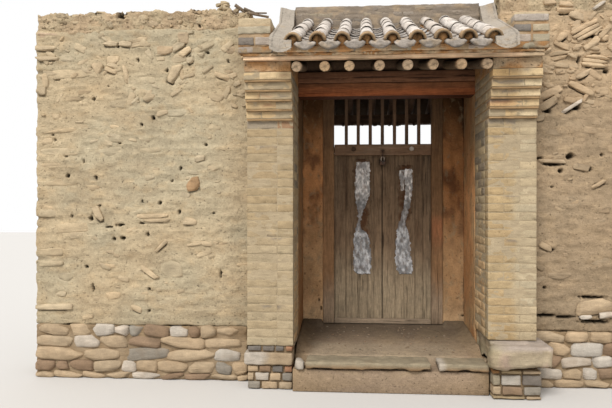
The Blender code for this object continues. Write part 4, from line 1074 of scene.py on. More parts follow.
def wall_cap(name, seed, ragged, nib=None):
    """The broken mud top of a wall: a ragged mass with clods, and gaps darkened with painted shade."""
    low, high = corners(name)
    low = low + (-0.012, -0.014, -0.03)
    top = high[2] if nib is None else nib[2]
    pile = Pile(seed)
    sink = pitted(photo_marks(CAP_HOLES, WALL_FRONT), 0.07)

    def bend(points, facing, tints):
        part = (points[:, 2] - low[2]) / (top - low[2])
        edge = np.abs(rough(points * (1, 0.5, 0), 0.10, seed, 3)) + 0.3 * np.abs(noise(points, 0.03, seed))
        # Painted shade: the creases sunk into the front are darkened
        crease = smooth(noise(points, (0.16, 0.2, 0.05), seed + 8), 0.45, 0.8) * (facing[:, 1] < -0.5)
        points[:, 2] -= np.clip(part, 0, 1) ** 3 * ragged * edge
        points[:, 1] += 0.02 * crease
        return sink(points, facing, tints * (1 - 0.45 * crease)[:, None])

    def tints(points):
        tone = patchy(points, colour("clod") * 1.08, colour("mud"), 0.15, seed + 5, -0.3, 0.4)
        return tone * (1 + 0.14 * rough(points, 0.04, seed + 6, 2))[:, None]

    mud_mass(pile, low, (high[0] + 0.01, high[1] + 0.014, top), (0.014, 0.035, 0.012), 0.020, tints, seed,
             0.012, bend, 0.004, 0.12)
    face = low[1] + 0.012
    for _ in range(CAP_FACE_STONES):
        place = pile.draw((low[0] + 0.04, face + 0.004, low[2] + 0.05),
                          (high[0] - 0.04, face + 0.02, top - 0.03))
        width = 0.025 + 0.10 * pile.draw() ** 2
        shape = (width, 0.04, width * pile.draw(0.35, 0.8))
        points, quads = stone(place, shape, pile.chance, (0, pile.chance.normal(0, 0.5), 0), 6.0, 6, 0.08, 7)
        tone = blend(colour("clod") * 1.1, colour("mud"), pile.draw())
        pile.add(points, quads, pile.varied(tone, 0.10))
    spread = (low[0] + 0.06, low[1] + 0.05, top - 0.05)
    clod_row(pile, spread, (high[0] - 0.06, high[1] - 0.02, top - 0.026), CAP_TOP_CLODS,
             colour("clod") * 1.12, (0.02, 0.065))
    if nib is not None:
        for lift in np.linspace(top, high[2] - 0.03, 5):
            clod_row(pile, (nib[0], low[1] + 0.05, lift - 0.03), (nib[1], low[1] + 0.3, lift), 7,
                     colour("mud") * 0.95, (0.04, 0.08))
    pile.make(name + "_clods", finish("clods"), [name])


class GATEWAY_OT_wall_caps(bpy.types.Operator):
    """Heap the broken mud tops of the courtyard walls, with the sticks that stand out of them"""

    bl_idname = "gateway.wall_caps"
    bl_label = "Wall caps"

    def execute(self, context):
        left_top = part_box("left_wall_cap")[0][2] + 0.195
        wall_cap("left_wall_cap", 21, 0.07, (-1.665, -1.575, left_top))
        wall_cap("right_wall_cap", 22, 0.08)
        sticks = Pile(23)
        for number, (from_x, from_up, to_x, to_up, thickness) in enumerate(CAP_STICKS):
            start = photo_place(from_x, from_up, WALL_FRONT)
            end = photo_place(to_x, to_up, WALL_FRONT)
            points, quads = log((start[0], WALL_FRONT - 0.004, start[1]), (end[0], WALL_FRONT + 0.05, end[1]),
                                thickness / 2, sticks, 8)
            tone = colour("pale_wood") * (1.1 if number < 2 else 0.5)
            sticks.add(points, quads, sticks.varied(tone, 0.1))
        sticks.make("wall_top_sticks", finish("pale_wood", 0))
        return {"FINISHED"}


# Rows of the left wall's footing: pixels of the row's top and foot, then of where each stone starts, with
# its tone, and of the row's end. Then the tones of the stones that don't show.
LEFT_FOOTING_ROWS = (
    (320, 337, (38, "stone", 67, "stone", 91, "white_stone", 114, "white_stone", 128, "grey_stone", 143,
                "red_stone", 169, "white_stone", 188, "red_stone", 200, "stone", 216, "stone", 240)),
    (336, 348, (34, "stone", 72, "white_stone", 99, "stone", 128, "red_stone", 160, "stone", 205, "stone",
                240)),
    (348, 360, (34, "stone", 84, "stone", 118, "grey_stone", 168, "stone", 214, "white_stone", 240)),
)
TONES = ("stone", "stone", "grey_stone", "white_stone", "stone", "red_stone")
# A pixel across that lies over the left wall's footing
OVER_FOOTING = 100


def laid_stone(pile, low, high, tone, face_out):
    """A stone filling its place in a dry-laid row."""
    low = np.asarray(low, float)
    high = np.asarray(high, float)
    size = (high - low) * pile.draw((0.97, 1.0, 0.90), (1.06, 1.05, 1.12))
    shift = (0, face_out * pile.draw(-0.010, 0.008), pile.draw(-0.006, 0.006))
    centre = (low + high) / 2 + shift
    turn = (0, math.radians(pile.chance.normal(0, 4)), 0)
    points, quads = stone(centre, size, pile.chance, turn, 5.5, 7, 0.07, 8)
    points[:, 2] = np.maximum(points[:, 2], 0.0)
    pile.add(points, quads, pile.varied(colour(tone), 0.08))


def footing(name, seed, rows):
    """Rows of field stone along the front, the back and the outer end of a wall's foot."""
    low, high = corners(name)
    pile = Pile(seed)
    inset = 0.026

    def core(points):
        return patchy(points, colour("mud_brown"), colour("clod"), 0.12, seed, -0.3, 0.3) * 0.85

    mud_mass(pile, (low[0] + 0.01, low[1] + inset, low[2]),
             (high[0] - 0.01, high[1] - inset, high[2] - 0.002), 0.022, 0.014, core, seed, 0.01, scale=0.10)
    depth = 0.13
    heights = []
    for top_pixel, foot_pixel, row in rows:
        top = min(photo_place(OVER_FOOTING, top_pixel, low[1])[1], high[2])
        foot = photo_place(OVER_FOOTING, foot_pixel, low[1])[1]
        heights.append((foot, top))
        for place in range(0, len(row) - 2, 2):
            start = max(photo_place(row[place], foot_pixel, low[1])[0], low[0])
            end = min(photo_place(row[place + 2], foot_pixel, low[1])[0], high[0])
            laid_stone(pile, (start, low[1], foot), (end, low[1] + depth, top), row[place + 1], -1)
    level = heights[-1][0] if heights else high[2]
    rest = []
    while level > 0.02:
        foot = max(0.0, level - pile.draw(0.09, 0.15))
        if foot < 0.06:
            foot = 0.0
        rest.append((foot, level))
        level = foot
    for foot, top in rest:
        stone_run(pile, low, high, foot, top, depth, "front")
    for foot, top in rest + heights:
        stone_run(pile, low, high, foot, top, depth, "back")
        stone_run(pile, low, high, foot, top, depth, "end")
    pile.make(name + "_stones", finish("stone"), [name])


def stone_run(pile, low, high, foot, top, depth, side):
    """One row of random stones along a side of a footing."""
    along = 1 if side == "end" else 0
    place = low[along] + (0.08 if side == "end" else 0)
    stop = high[along] - (0.08 if side == "end" else 0)
    while place < stop - 0.04:
        end = min(place + pile.draw(0.12, 0.30), stop)
        if stop - end < 0.08:
            end = stop
        first = np.array((place, low[1], foot))
        last = np.array((end, low[1] + depth, top))
        if side == "back":
            first[1], last[1] = high[1] - depth, high[1]
        if side == "end":
            outer = low[0] if low[0] < 0 else high[0] - depth
            first[:2], last[:2] = (outer, place), (outer + depth, end)
        laid_stone(pile, first, last, TONES[pile.chance.integers(len(TONES))], 0)
        place = end


class GATEWAY_OT_wall_footings(bpy.types.Operator):
    """Set the field-stone footings of the courtyard walls"""

    bl_idname = "gateway.wall_footings"
    bl_label = "Wall footings"

    def execute(self, context):
        footing("left_wall_footing", 31, LEFT_FOOTING_ROWS)
        footing("right_wall_footing", 32, ())
        return {"FINISHED"}


# Brick tones seen at pixels of the photograph, on the piers' fronts
PIER_MARKS = (
    (277, 124.5, "red_brick"), (258, 124.5, "grey_stone"), (262, 87, "pale_brick"), (284, 98, "khaki_brick"),
    (270, 78, "pale_brick"), (280, 107, "clod"), (505, 84, "khaki_brick"), (520, 84, "pale_brick"),
    (500, 93, "khaki_brick"), (505, 101, "clod"), (496, 111, "grey_stone"), (500, 121, "khaki_brick"),
    (527, 91, "pale_brick"), (527, 110, "pale_brick"), (520, 372, "grey_brick"),
)


def streaked(tint, points):
    """A brick's tint with the streaks that cross it."""
    tints = np.array(np.broadcast_to(tint, points.shape))
    depth = float(points[:, 1].min())
    for first, last, up, thickness, *other in PIER_STREAKS:
        tone = other[0] if other else "grey_brick"
        start, z, scale = photo_place(first, up, depth)
        end = photo_place(last, up, depth)[0]
        wander = z + 0.005 * noise(points, (0.07, 1, 1), int(first))
        x = points[:, 0]
        across = smooth(x, start - 0.012, start + 0.012) * smooth(x, end + 0.012, end - 0.012)
        near = smooth(np.abs(points[:, 2] - wander), 0.8 * thickness / scale + 0.006, 0.3 * thickness / scale)
        tints = blend(tints, colour(tone), across * near * 0.8)
    return tints


def weathered(tint, points):
    """A brick's tint, yellower towards the passage and greyer outside on the right pier."""
    tints = np.array(np.broadcast_to(tint, points.shape))
    middle = (PASSAGE_HALF + PIER_OUTER) / 2
    greyer = smooth(points[:, 0] + 0.02 * noise(points, (0.1, 0.1, 0.05), 4), middle - 0.01, middle + 0.05)
    right = points[:, :1] > 0
    return np.where(right, blend(tints * (1.06, 1.0, 0.90), tints * (1.17, 1.22, 1.29), greyer), tints)


def pier_tone(side):
    """Tones of one pier's bricks: marked ones, mud-smeared inner faces, and the rest buff, with painted light
    on the corbels.
    """
    marks = []
    for across, up, tone in PIER_MARKS:
        x, z, _ = photo_place(across, up, 0.0)
        if x * side > 0:
            marks.append((x, z, tone))

    def tone(middle, face, pile):
        inner = (face == "r") == (side < 0)
        here = np.array([middle])
        pale = 0.35 + 0.5 * rough(here, (0.5, 0.5, 0.25), 7, 2)[0] + pile.draw(-0.25, 0.25)
        buff = blend(colour("yellow_brick"), colour("pale_brick"), np.clip(pale, 0, 1))
        if face in "lr" and inner:
            smear = smooth(middle[2] + pile.draw(-0.2, 0.2), 1.15, 1.75)
            dirty = blend(buff, colour("grey_brick"), pile.chance.choice((0.0, 0.15, 0.7)))
            return pile.varied(blend(colour("mud_brown") * 1.35, dirty, smear), 0.1) * (1.18, 1.16, 1.10)
        if face == "f":
            half = masonry().brick_length / 2
            depth = middle[1] - masonry().brick_depth / 2
            for x, z, name in marks:
                level = CAMERA_PLACE[2] + (z - CAMERA_PLACE[2]) * (depth - CAMERA_PLACE[1]) / -CAMERA_PLACE[1]
                if abs(middle[0] - x) < half * 0.9 and abs(middle[2] - level) < 0.040:
                    buff = blend(buff, colour(name), 0.7)
                    break
            # Painted light: the corbelled courses are made paler to lift them out of the eave's shade
            if middle[2] > SHAFT_TOP:
                buff = buff * (1.42, 1.34, 1.22)
            tint = pile.varied(buff, 0.045)
            return lambda points: streaked(weathered(tint, points), points)
        return pile.varied(buff, 0.045)

    return tone


def pier(name, side, seed):
    """One pier: its shaft, the corbelled courses with mud between them, and the mud block on top."""
    low, high = corners(name)
    pile = Pile(seed)
    base = low[2]
    count = round((SHAFT_TOP - base) / PIER_COURSE)
    height = (SHAFT_TOP - base) / count
    tone = pier_tone(side)
    for number in range(count):
        foot = base + number * height
        course(pile, (low[0], 0.0, foot), (high[0], PIER_DEPTH, foot + height), tone, number % 2 == side > 0)
    mortar_core(pile, (low[0], 0.0, base), (high[0], PIER_DEPTH, SHAFT_TOP))
    # Under each corbelled course a strip of mud, darker than the bricks: partly the mud bedding, partly a
    # painted shadow line under the course
    lip = 0.013
    mud = blend(colour("orange_mud"), colour("clod"), 0.5) * (1.06, 1.08, 1.02)
    for number in range(CORBEL_COURSES):
        front = -(number + 1) * CORBEL_STEP
        foot = SHAFT_TOP + number * CORBEL_COURSE
        top = foot + CORBEL_COURSE
        course(pile, (low[0], front, foot + lip), (high[0], PIER_DEPTH, top), tone, number % 2 == 0)
        mortar_core(pile, (low[0], front, foot + lip + 0.002), (high[0], PIER_DEPTH, top - 0.001))
        mud_mass(pile, (low[0] + 0.003, front + 0.007, foot - 0.002),
                 (high[0] - 0.003, PIER_DEPTH, foot + lip + 0.003), (0.02, 0.02, 0.008), 0.003, mud,
                 seed + number, 0.003, scale=0.06)
    pile.make(name + "_bricks", finish("brick"), [name])
    fill = Pile(seed + 1)
    foot = SHAFT_TOP + CORBEL_COURSES * CORBEL_COURSE
    front = -CORBEL_COURSES * CORBEL_STEP

    def tint(points):
        streak = rough(points, (0.03, 0.03, 0.3), seed + 4, 2)
        tone = patchy(points, colour("orange_mud") * 1.35, colour("clod"), 0.15, seed, -0.2, 0.4)
        return tone * (1 + 0.12 * streak)[:, None]

    mud_mass(fill, (low[0] + 0.002, front + 0.004, foot), (high[0] - 0.002, PIER_DEPTH, PIER_TOP), 0.018,
             0.005, tint, seed, 0.008, scale=0.12)
    line = rafter_line()

    def slope(points, facing, tints):
        part = (points[:, 2] - PIER_TOP) / 0.05
        points[:, 2] = PIER_TOP + part * (line(points[:, 1]) - PIER_TOP - 0.001)
        return points, tints

    mud_mass(fill, (low[0] + 0.004, -0.128, PIER_TOP), (high[0] - 0.004, PIER_DEPTH, PIER_TOP + 0.05), 0.04,
             0.0, tint, seed, 0.004, slope)
    fill.make(name + "_mud_block", finish("clods"))


def log_axis(node):
    """The two end places of a round timber, from its node's box."""
    low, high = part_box(node)
    pitch = 0.2
    for _ in range(6):
        sine, cosine = math.sin(pitch), math.cos(pitch)
        rise = high[2] - low[2] - 2 * RAFTER_RADIUS * cosine
        run = high[1] - low[1] - 2 * RAFTER_RADIUS * sine
        pitch = math.atan2(rise, run)
    x = (low[0] + high[0]) / 2
    start = (x, low[1] + RAFTER_RADIUS * sine, low[2] + RAFTER_RADIUS * cosine)
    end = (x, high[1] - RAFTER_RADIUS * sine, high[2] - RAFTER_RADIUS * cosine)
    return start, end, pitch


def rafter_line():
    """Height of the upper side of the front rafters over the depth."""
    start, _, pitch = log_axis("rafter_1")
    return lambda y: start[2] + (y - start[1]) * math.tan(pitch) + RAFTER_RADIUS / math.cos(pitch)


class GATEWAY_OT_piers(bpy.types.Operator):
    """Lay the brick piers, their corbelled courses and the mud on top"""

    bl_idname = "gateway.piers"
    bl_label = "Brick piers"

    def execute(self, context):
        pier("left_pier", -1, 41)
        pier("right_pier", 1, 43)
        return {"FINISHED"}


def log(start, end, radius, pile, sides=16):
    """A round timber that is not quite straight, with cracks running down it and across its ends."""
    start = np.asarray(start, float)
    end = np.asarray(end, float)
    length = np.linalg.norm(end - start)
    count = max(2, round(length / 0.05))
    shares = np.concatenate(([0, 0, 0, 0.02], np.linspace(0.05, 0.95, count), [0.98, 1, 1, 1]))
    widths = np.ones(len(shares))
    widths[:4] = (0, 0.5, 0.93, 1)
    widths[-4:] = (1, 0.93, 0.5, 0)
    path = start + (end - start) * shares[:, None]
    points, faces = swept(path, radius * 0.985 * widths, sides)
    seed = pile.new_seed()
    way = (end - start) / length
    along = (points - start) @ way
    spokes = points - start - along[:, None] * way
    reach = np.linalg.norm(spokes, axis=1)
    outward = spokes / np.maximum(reach, 1e-6)[:, None]
    local = np.stack([along * 0.12, outward[:, 0] * 0.03 + outward[:, 1] * 0.02, outward[:, 2] * 0.03],
                     axis=1)
    cut = smooth(noise(local + seed, 0.011, seed), 0.42, 0.8)
    worn = 0.05 * rough(local + 7 + seed, 0.03, seed, 2) + 0.10 * cut + 0.02
    points = points - outward * (np.minimum(reach, radius) * worn)[:, None]
    return points, faces


# The wear at which cracks have their whole depth
FULL_CRACK_WEAR = 0.0016


def beam(pile, low, high, along, tint, wear, step=0.03, rounding=0.006):
    """A sawn timber, worn along its grain and cracked."""
    steps = [step] * 3
    steps[along] = step * 2.2
    points, facing, quads = block(low, high, steps, rounding)
    seed = pile.new_seed()
    scale = [0.022] * 3
    scale[along] = 0.6
    scale = np.array(scale)
    swell = wear * rough(points + seed * 0.013, scale, seed, 2) - wear
    groove = smooth(noise(points + seed * 0.007, scale * 0.5, seed + 3), 0.55, 0.85)
    cracks = timber().crack_depth * groove * min(1.0, wear / FULL_CRACK_WEAR)
    points = points + facing * (swell - cracks)[:, None]
    tints = tint(points) if callable(tint) else np.broadcast_to(tint, points.shape)
    # Painted shade: the timber is darkened in its cracks
    pile.add(points, quads, tints * (1 - 0.45 * groove)[:, None])


def one_beam(node, name, seed, along, tint, wear, step, kind, rounding=0.006):
    """A piece that is a single sawn timber."""
    pile = Pile(seed)
    beam(pile, *corners(node), along, tint, wear, step, rounding)
    pile.make(name, finish(kind, along), [node])


# Rows of the piers' feet: heights of the foot and the top, and for each stone where it ends and its tone
LEFT_FOOT_ROWS = (
    (0.345, 0.400, ((-1.17, "grey_brick"), (-1.05, "grey_brick"), (-0.96, "grey_brick"),
                    (-0.882, "red_brick"))),
    (0.155, 0.222, ((-1.20, "stone"), (-1.08, "red_stone"), (-0.97, "grey_brick"), (-0.882, "red_brick"))),
    (0.075, 0.152, ((-1.24, "stone"), (-1.10, "white_stone"), (-0.99, "stone"), (-0.882, "grey_stone"))),
    (0.0, 0.073, ((-1.18, "grey_stone"), (-1.02, "stone"), (-0.882, "stone"))),
)
RIGHT_FOOT_ROWS = (
    (0.220, 0.257, ((0.955, "orange_mud"), (1.14, "yellow_brick"), (1.31, "stone"))),
    (0.120, 0.216, ((0.955, "khaki_brick"), (1.135, "white_stone"), (1.31, "grey_brick"))),
    (0.036, 0.116, ((0.965, "stone"), (1.150, "red_stone"), (1.31, "grey_stone"))),
    (0.0, 0.032, ((1.17, "yellow_brick"), (1.31, "stone"))),
)


def foot_rows(pile, low, high, front, rows):
    """Laid stones across the front of a pier's foot, and the rest of the foot in mud and rubble."""
    for foot, top, stones in rows:
        place = low[0]
        for end, tone in stones:
            points, facing, quads = block((place + 0.004, front, foot + 0.003),
                                          (end - 0.004, front + 0.16, top), 0.02, 0.012)
            seed = pile.new_seed()
            points = points + facing * (0.007 * rough(points + seed * 0.01, 0.06, seed, 3) - 0.005)[:, None]
            pile.add(points, quads, pile.varied(colour(tone), 0.08))
            place = end
    for foot, top, _ in rows:
        for face in (low[0], high[0]):
            place = front + 0.17
            while place < high[1] - 0.05:
                end = min(place + pile.draw(0.12, 0.26), high[1])
                inner = face if face == low[0] else face - 0.12
                tone = TONES[pile.chance.integers(len(TONES))]
                points, quads = stone((inner + 0.06, (place + end) / 2, (foot + top) / 2),
                                      (0.13, end - place, top - foot), pile.chance, (0, 0, 0), 4.2, 6, 0.05,
                                      5)
                points[:, 0] = np.clip(points[:, 0], low[0] + 0.001, high[0] - 0.001)
                pile.add(points, quads, pile.varied(colour(tone), 0.1))
                place = end


class GATEWAY_OT_pier_feet(bpy.types.Operator):
    """Set the stones under the left pier and the boulder under the right one"""

    bl_idname = "gateway.pier_feet"
    bl_label = "Pier feet"

    def execute(self, context):
        low, high = corners("left_pier_footing")
        inner = -PASSAGE_HALF
        pile = Pile(51)
        pier_low = np.array((-PIER_OUTER, 0.0, 0.0))
        pier_high = np.array((inner, PIER_DEPTH, 0.4))
        mud_mass(pile, pier_low + (0.012, 0.012, 0), pier_high - (0.012, 0.001, 0.002), 0.04, 0.004,
                 colour("mud_brown") * 0.7, 51, 0.01)
        foot_rows(pile, pier_low, pier_high, -0.016, LEFT_FOOT_ROWS)
        rock, facing, quads = block((low[0], low[1], 0.222), (inner - 0.001, 0.215, 0.343), 0.018, 0.02)
        rock = rock + facing * (0.008 * rough(rock, 0.09, 5, 4) - 0.006)[:, None]
        white = smooth(rock[:, 0] + 0.06 * rough(rock, 0.08, 8), -1.14, -1.09)
        pile.add(rock, quads, blend(colour("white_stone") * 0.98, colour("stone") * 0.9, white))
        pile.make("left_pier_foot_stones", finish("stone"), ["left_pier_footing"])
        self.right_foot()
        return {"FINISHED"}

    def right_foot(self):
        low, high = corners("right_pier_footing")
        pile = Pile(52)
        mud_mass(pile, low + (0.012, 0.03, 0), high - (0.012, 0.001, 0.002), 0.04, 0.006,
                 colour("mud_brown") * 0.7, 52, 0.01)
        foot_rows(pile, low, high, low[1], RIGHT_FOOT_ROWS)
        pile.make("right_pier_foot_stones", finish("stone"), ["right_pier_footing"])
        low, high = corners("right_pier_boulder")
        pile = Pile(53)
        nose_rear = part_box("right_edge_slab")[0][1] - 0.001
        ledge = -0.061
        parts = (
            ((low[0], low[1], low[2]), (high[0], nose_rear, high[2]), 0.055),
            ((0.897, low[1] + 0.03, low[2]), (high[0], 0.219, high[2] - 0.001), 0.04),
            ((PASSAGE_HALF + 0.001, ledge, low[2]), (PIER_OUTER, PIER_DEPTH, high[2] - 0.002), 0.02),
        )
        for corner, other, rounding in parts:
            rock, facing, quads = block(corner, other, 0.018, rounding)
            swell = 0.018 * rough(rock, 0.12, 15, 4) + 0.009 * rough(rock, (0.05, 0.05, 0.02), 16, 3) - 0.014
            below = smooth(rock[:, 2], high[2] - 0.02, high[2] - 0.07)
            swell -= 0.035 * smooth(noise(rock, (0.22, 0.2, 0.13), 17), 0.05, 0.7) * below
            swell = np.where(rock[:, 2] > high[2] - 0.02, np.maximum(swell, -0.006), swell)
            rock = rock + facing * swell[:, None]
            rock = np.clip(rock, corner, other)
            top = smooth(rock[:, 2], high[2] - 0.05, high[2] - 0.012)
            seam = smooth(noise(rock, (0.4, 0.4, 0.022), 19), 0.35, 0.7)
            pink = smooth(rough(rock, 0.12, 20, 3), -0.1, 0.4)
            face = blend((0.37, 0.30, 0.205), (0.36, 0.265, 0.20), pink)
            tone = blend(face * (1 - 0.22 * seam)[:, None], (0.335, 0.28, 0.235), top)
            # Painted shade: the boulder's left face, towards the passage, is darkened and tinted greenish
            left_face_shade = smooth(rock[:, 0], 1.0, 0.86)
            pile.add(rock, quads, blend(tone, (0.25, 0.21, 0.12), left_face_shade * 0.6), apart=False)
        pile.make("right_pier_boulder_stone", finish("stone"), ["right_pier_boulder"])


FLOOR_CRUMBS = 150
# The floor's places along the depth and its height at each
FLOOR_PROFILE = ((-0.06, 0.21), (0.1795, 0.21), (0.1805, 0.285), (1.17, 0.385), (1.2599, 0.385),
                 (1.2609, 0.33), (2.0, 0.33))


class GATEWAY_OT_floor(bpy.types.Operator):
    """Tread the porch floor and set the slabs along its front edge"""

    bl_idname = "gateway.floor"
    bl_label = "Porch floor"

    def execute(self, context):
        low, high = corners("porch_floor")
        places, heights = zip(*FLOOR_PROFILE)
        pile = Pile(61)

        def bend(points, facing, tints):
            part = points[:, 2] / high[2]
            level = np.interp(points[:, 1], places, heights)
            wear = 0.006 * (rough(points, 0.16, 61, 4) - 0.9)
            beside = smooth(np.abs(points[:, 0]) + 0.06 * rough(points, 0.08, 65, 3), 0.72, 0.90)
            behind = smooth(points[:, 1] + 0.05 * rough(points, 0.07, 66, 3), 1.02, 1.16)
            behind = behind * (np.abs(points[:, 0]) > 0.67)
            porch = smooth(points[:, 1], 0.24, 0.40) * (points[:, 1] < 1.18)
            level = level + 0.055 * np.maximum(beside, behind) * porch
            points[:, 2] = part * (level + wear)
            return points, tints

        def tints(points):
            tone = blend(colour("earth"), colour("clod"), smooth(rough(points, 0.22, 62, 3), -0.1, 0.5) * 0.6)
            edge = smooth(np.abs(points[:, 0]) + 0.08 * rough(points, 0.1, 63, 3), 0.66, 0.86)
            # Painted shade: the floor darkens towards the back of the porch, under its roof
            deep = 0.88 - 0.55 * smooth(points[:, 1], 0.1, 1.1)
            tone = blend(tone, colour("mud_brown"), edge * 0.7) * deep[:, None]
            ragged = 0.10 * rough(points, 0.12, 67, 4)
            slab = smooth(points[:, 1] + ragged, 0.66, 0.42) * smooth(points[:, 1], 0.17, 0.19)
            ends = smooth(np.abs(points[:, 0] + 0.06) + ragged, 0.72, 0.60)
            return blend(tone, (0.275, 0.225, 0.155), slab * ends * 0.45)

        mud_mass(pile, low, high, 0.022, 0.0, tints, 61, 0.012, bend)
        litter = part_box("left_edge_slab")[1][1]
        for _ in range(FLOOR_CRUMBS):
            spot = pile.draw((low[0] + 0.05, litter + 0.05, 0), (high[0] - 0.05, 1.1, 0))
            spot[2] = np.interp(spot[1], places, heights) - 0.004
            size = pile.draw(0.008, 0.026)
            shape = (size, size * 0.8, size * 0.6)
            points, quads = stone(spot, shape, pile.chance, (0, 0, 0), 2.4, 3, 0.2, 2)
            pile.add(points, quads, pile.varied(colour("earth") * 0.62, 0.3))
        pile.make("porch_floor_earth", finish("earth"), ["porch_floor"])
        self.slabs()
        return {"FINISHED"}

    def slabs(self):
        cream = np.array((0.246, 0.203, 0.137))
        for name, seed in (("left_edge_slab", 63), ("right_edge_slab", 64)):
            low, high = corners(name)
            pile = Pile(seed)
            rock, facing, quads = block(low, high, 0.016, 0.02)
            swell = 0.010 * rough(rock, 0.1, seed, 4) + 0.003 * rough(rock, 0.02, seed + 5, 2) - 0.006
            rock = np.clip(rock + facing * swell[:, None], low, high)
            part = (high[2] - rock[:, 2]) / (high[2] - low[2])
            rock[:, 2] += part * 0.014 * smooth(noise(rock * (1, 1, 0), 0.11, seed), -0.2, 0.7)
            lower = smooth(rock[:, 2], high[2] - 0.02, low[2]) * smooth(rock[:, 1], 0.0, low[1])
            tone = blend(cream, colour("orange_mud"), lower * 0.7)
            if name == "right_edge_slab":
                tone = blend(tone, colour("white_stone"),
                             smooth(rock[:, 0], low[0] + 0.09, low[0] + 0.03) * 0.8)
            pile.add(rock, quads, tone * (1 + 0.12 * rough(rock, 0.05, seed + 2))[:, None], apart=False)
            if name == "left_edge_slab":
                wedge, quads = stone((low[0] - 0.047, low[1] + 0.075, 0.247), (0.085, 0.14, 0.082),
                                     pile.chance, (0, 0.1, 0), 6, 8, 0.08, 6)
                pile.add(wedge, quads, colour("white_stone") * 0.95)
            pile.make(name + "_stone", finish("stone"), [name])


def roof_lines():
    """Heights of the underside of the front and of the rear tiles over the depth."""
    low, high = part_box("ridge")
    front = math.tan(roof().front_pitch)
    rear = math.tan(roof().rear_pitch)
    gap = 0.0003
    foot = low[2] - gap + (RIDGE_CENTRE - low[1]) * front

    def over_front(y):
        return foot + (y - RIDGE_CENTRE) * front

    def over_rear(y):
        return foot - (y - RIDGE_CENTRE) * rear

    return over_front, over_rear


INFILL_HOLES = {"left": ((321, 308, 2.2, 5), (319, 300, 1.5, 2.5)),
                "right": ((472, 326, 2, 3), (463, 316, 2.5, 2))}


class GATEWAY_OT_passage(bpy.types.Operator):
    """Plaster the walls of the passage and the panels beside the door"""

    bl_idname = "gateway.passage"
    bl_label = "Passage walls"

    def execute(self, context):
        _, over_rear = roof_lines()
        line = rafter_line()
        for side, name in ((-1, "left"), (1, "right")):
            node = name + "_passage_wall"
            low, high = corners(node)

            def bend(points, facing, tints):
                y = points[:, 1]
                rear = np.minimum(over_rear(y) - REAR_BED - 0.001, high[2])
                level = np.where(y < RIDGE_CENTRE, line(y) - 0.001, rear)
                points[:, 2] = points[:, 2] / high[2] * level
                return points, tints

            def tints(points):
                tone = patchy(points, colour("stain"), colour("mud_brown"), 0.3, 72, -0.2, 0.4, 4)
                # Painted shade: darker towards the top, under the roof. Painted light: the right lining is
                # made paler, more so higher up
                dark = smooth(points[:, 2], 1.9, 2.8)
                back = smooth(points[:, 1], 1.95, 2.0)
                lit = 1.12 if side < 0 else 1.46 + 0.80 * smooth(points[:, 2], 0.9, 1.9)[:, None]
                tone = tone * (0.88, 0.79, 0.69) * lit * (1 - 0.5 * dark)[:, None]
                return blend(tone, colour("mud_brown"), back)

            inner = side * PASSAGE_HALF
            body = Pile(71)
            first, last = sorted((inner + side * 0.010, side * PIER_OUTER))
            mud_mass(body, (first, low[1] + 0.001, low[2]), (last, high[1], high[2]), 0.022, 0.008,
                     wall_tint(0.25), 71 + side, 0.012, bend, 0.002, 0.25)
            scatter_stones(body, (first + 0.03, 0.15), (last - 0.03, 2.5), high[1], -1, PASSAGE_STONES,
                           wall_tint(0.25))
            body.make(node + "_mud", finish("mud"), [node])
            lining = Pile(78)
            first, last = sorted((inner, inner + side * 0.02))
            mud_mass(lining, (first, low[1] + 0.001, low[2]), (last, high[1] - 0.004, high[2]), 0.03, 0.005,
                     tints, 71, 0.004, bend, 0.0, 0.2)
            lining.make(node + "_plaster", finish("stain"))
            self.infill(name, side)
        return {"FINISHED"}

    def infill(self, name, side):
        node = name + "_infill_panel"
        low, high = corners(node)
        pile = Pile(73 + side)
        sink = pitted(photo_marks(INFILL_HOLES[name], low[1]), 0.035)
        strength = np.array((1.47, 1.34, 1.21) if side < 0 else (1.09, 0.97, 0.85))

        def tints(points):
            patch = rough(points, (0.11, 0.11, 0.2), 74 + side, 4)
            drip = rough(points, (0.05, 0.05, 0.7), 76 + side, 3)
            tone = blend(colour("stain") * (1.0, 0.9, 0.8), colour("stain") * (0.48, 0.42, 0.42),
                         smooth(patch + 0.5 * drip, -0.05, 0.45))
            # Painted shade: the panels darken towards the top, under the lintels and the roof
            dark = smooth(points[:, 2] + 0.15 * patch, 2.2, 2.8)
            pale = smooth(points[:, 2] + 0.35 * patch, 2.0, 1.0)
            foot = smooth(points[:, 2] + 0.12 * patch, low[2] + 0.35, low[2] + 0.05)
            tone = blend(tone, colour("clod") * (0.78, 0.78, 0.74), pale * 0.68)
            return blend(tone, colour("clod") * 1.05, foot * 0.75) * strength * (1 - 0.78 * dark)[:, None]

        mud_mass(pile, low, high, 0.012, 0.008, tints, 75 + side, 0.006, sink, 0.0, 0.16)
        seam = sorted((side * 0.64, side * 0.69))
        mud_mass(pile, (seam[0], 1.203, low[2]), (seam[1], 1.252, high[2]), 0.02, 0.001, tints, 77, 0.002)
        pile.make(node + "_plaster", finish("stain"), [node])


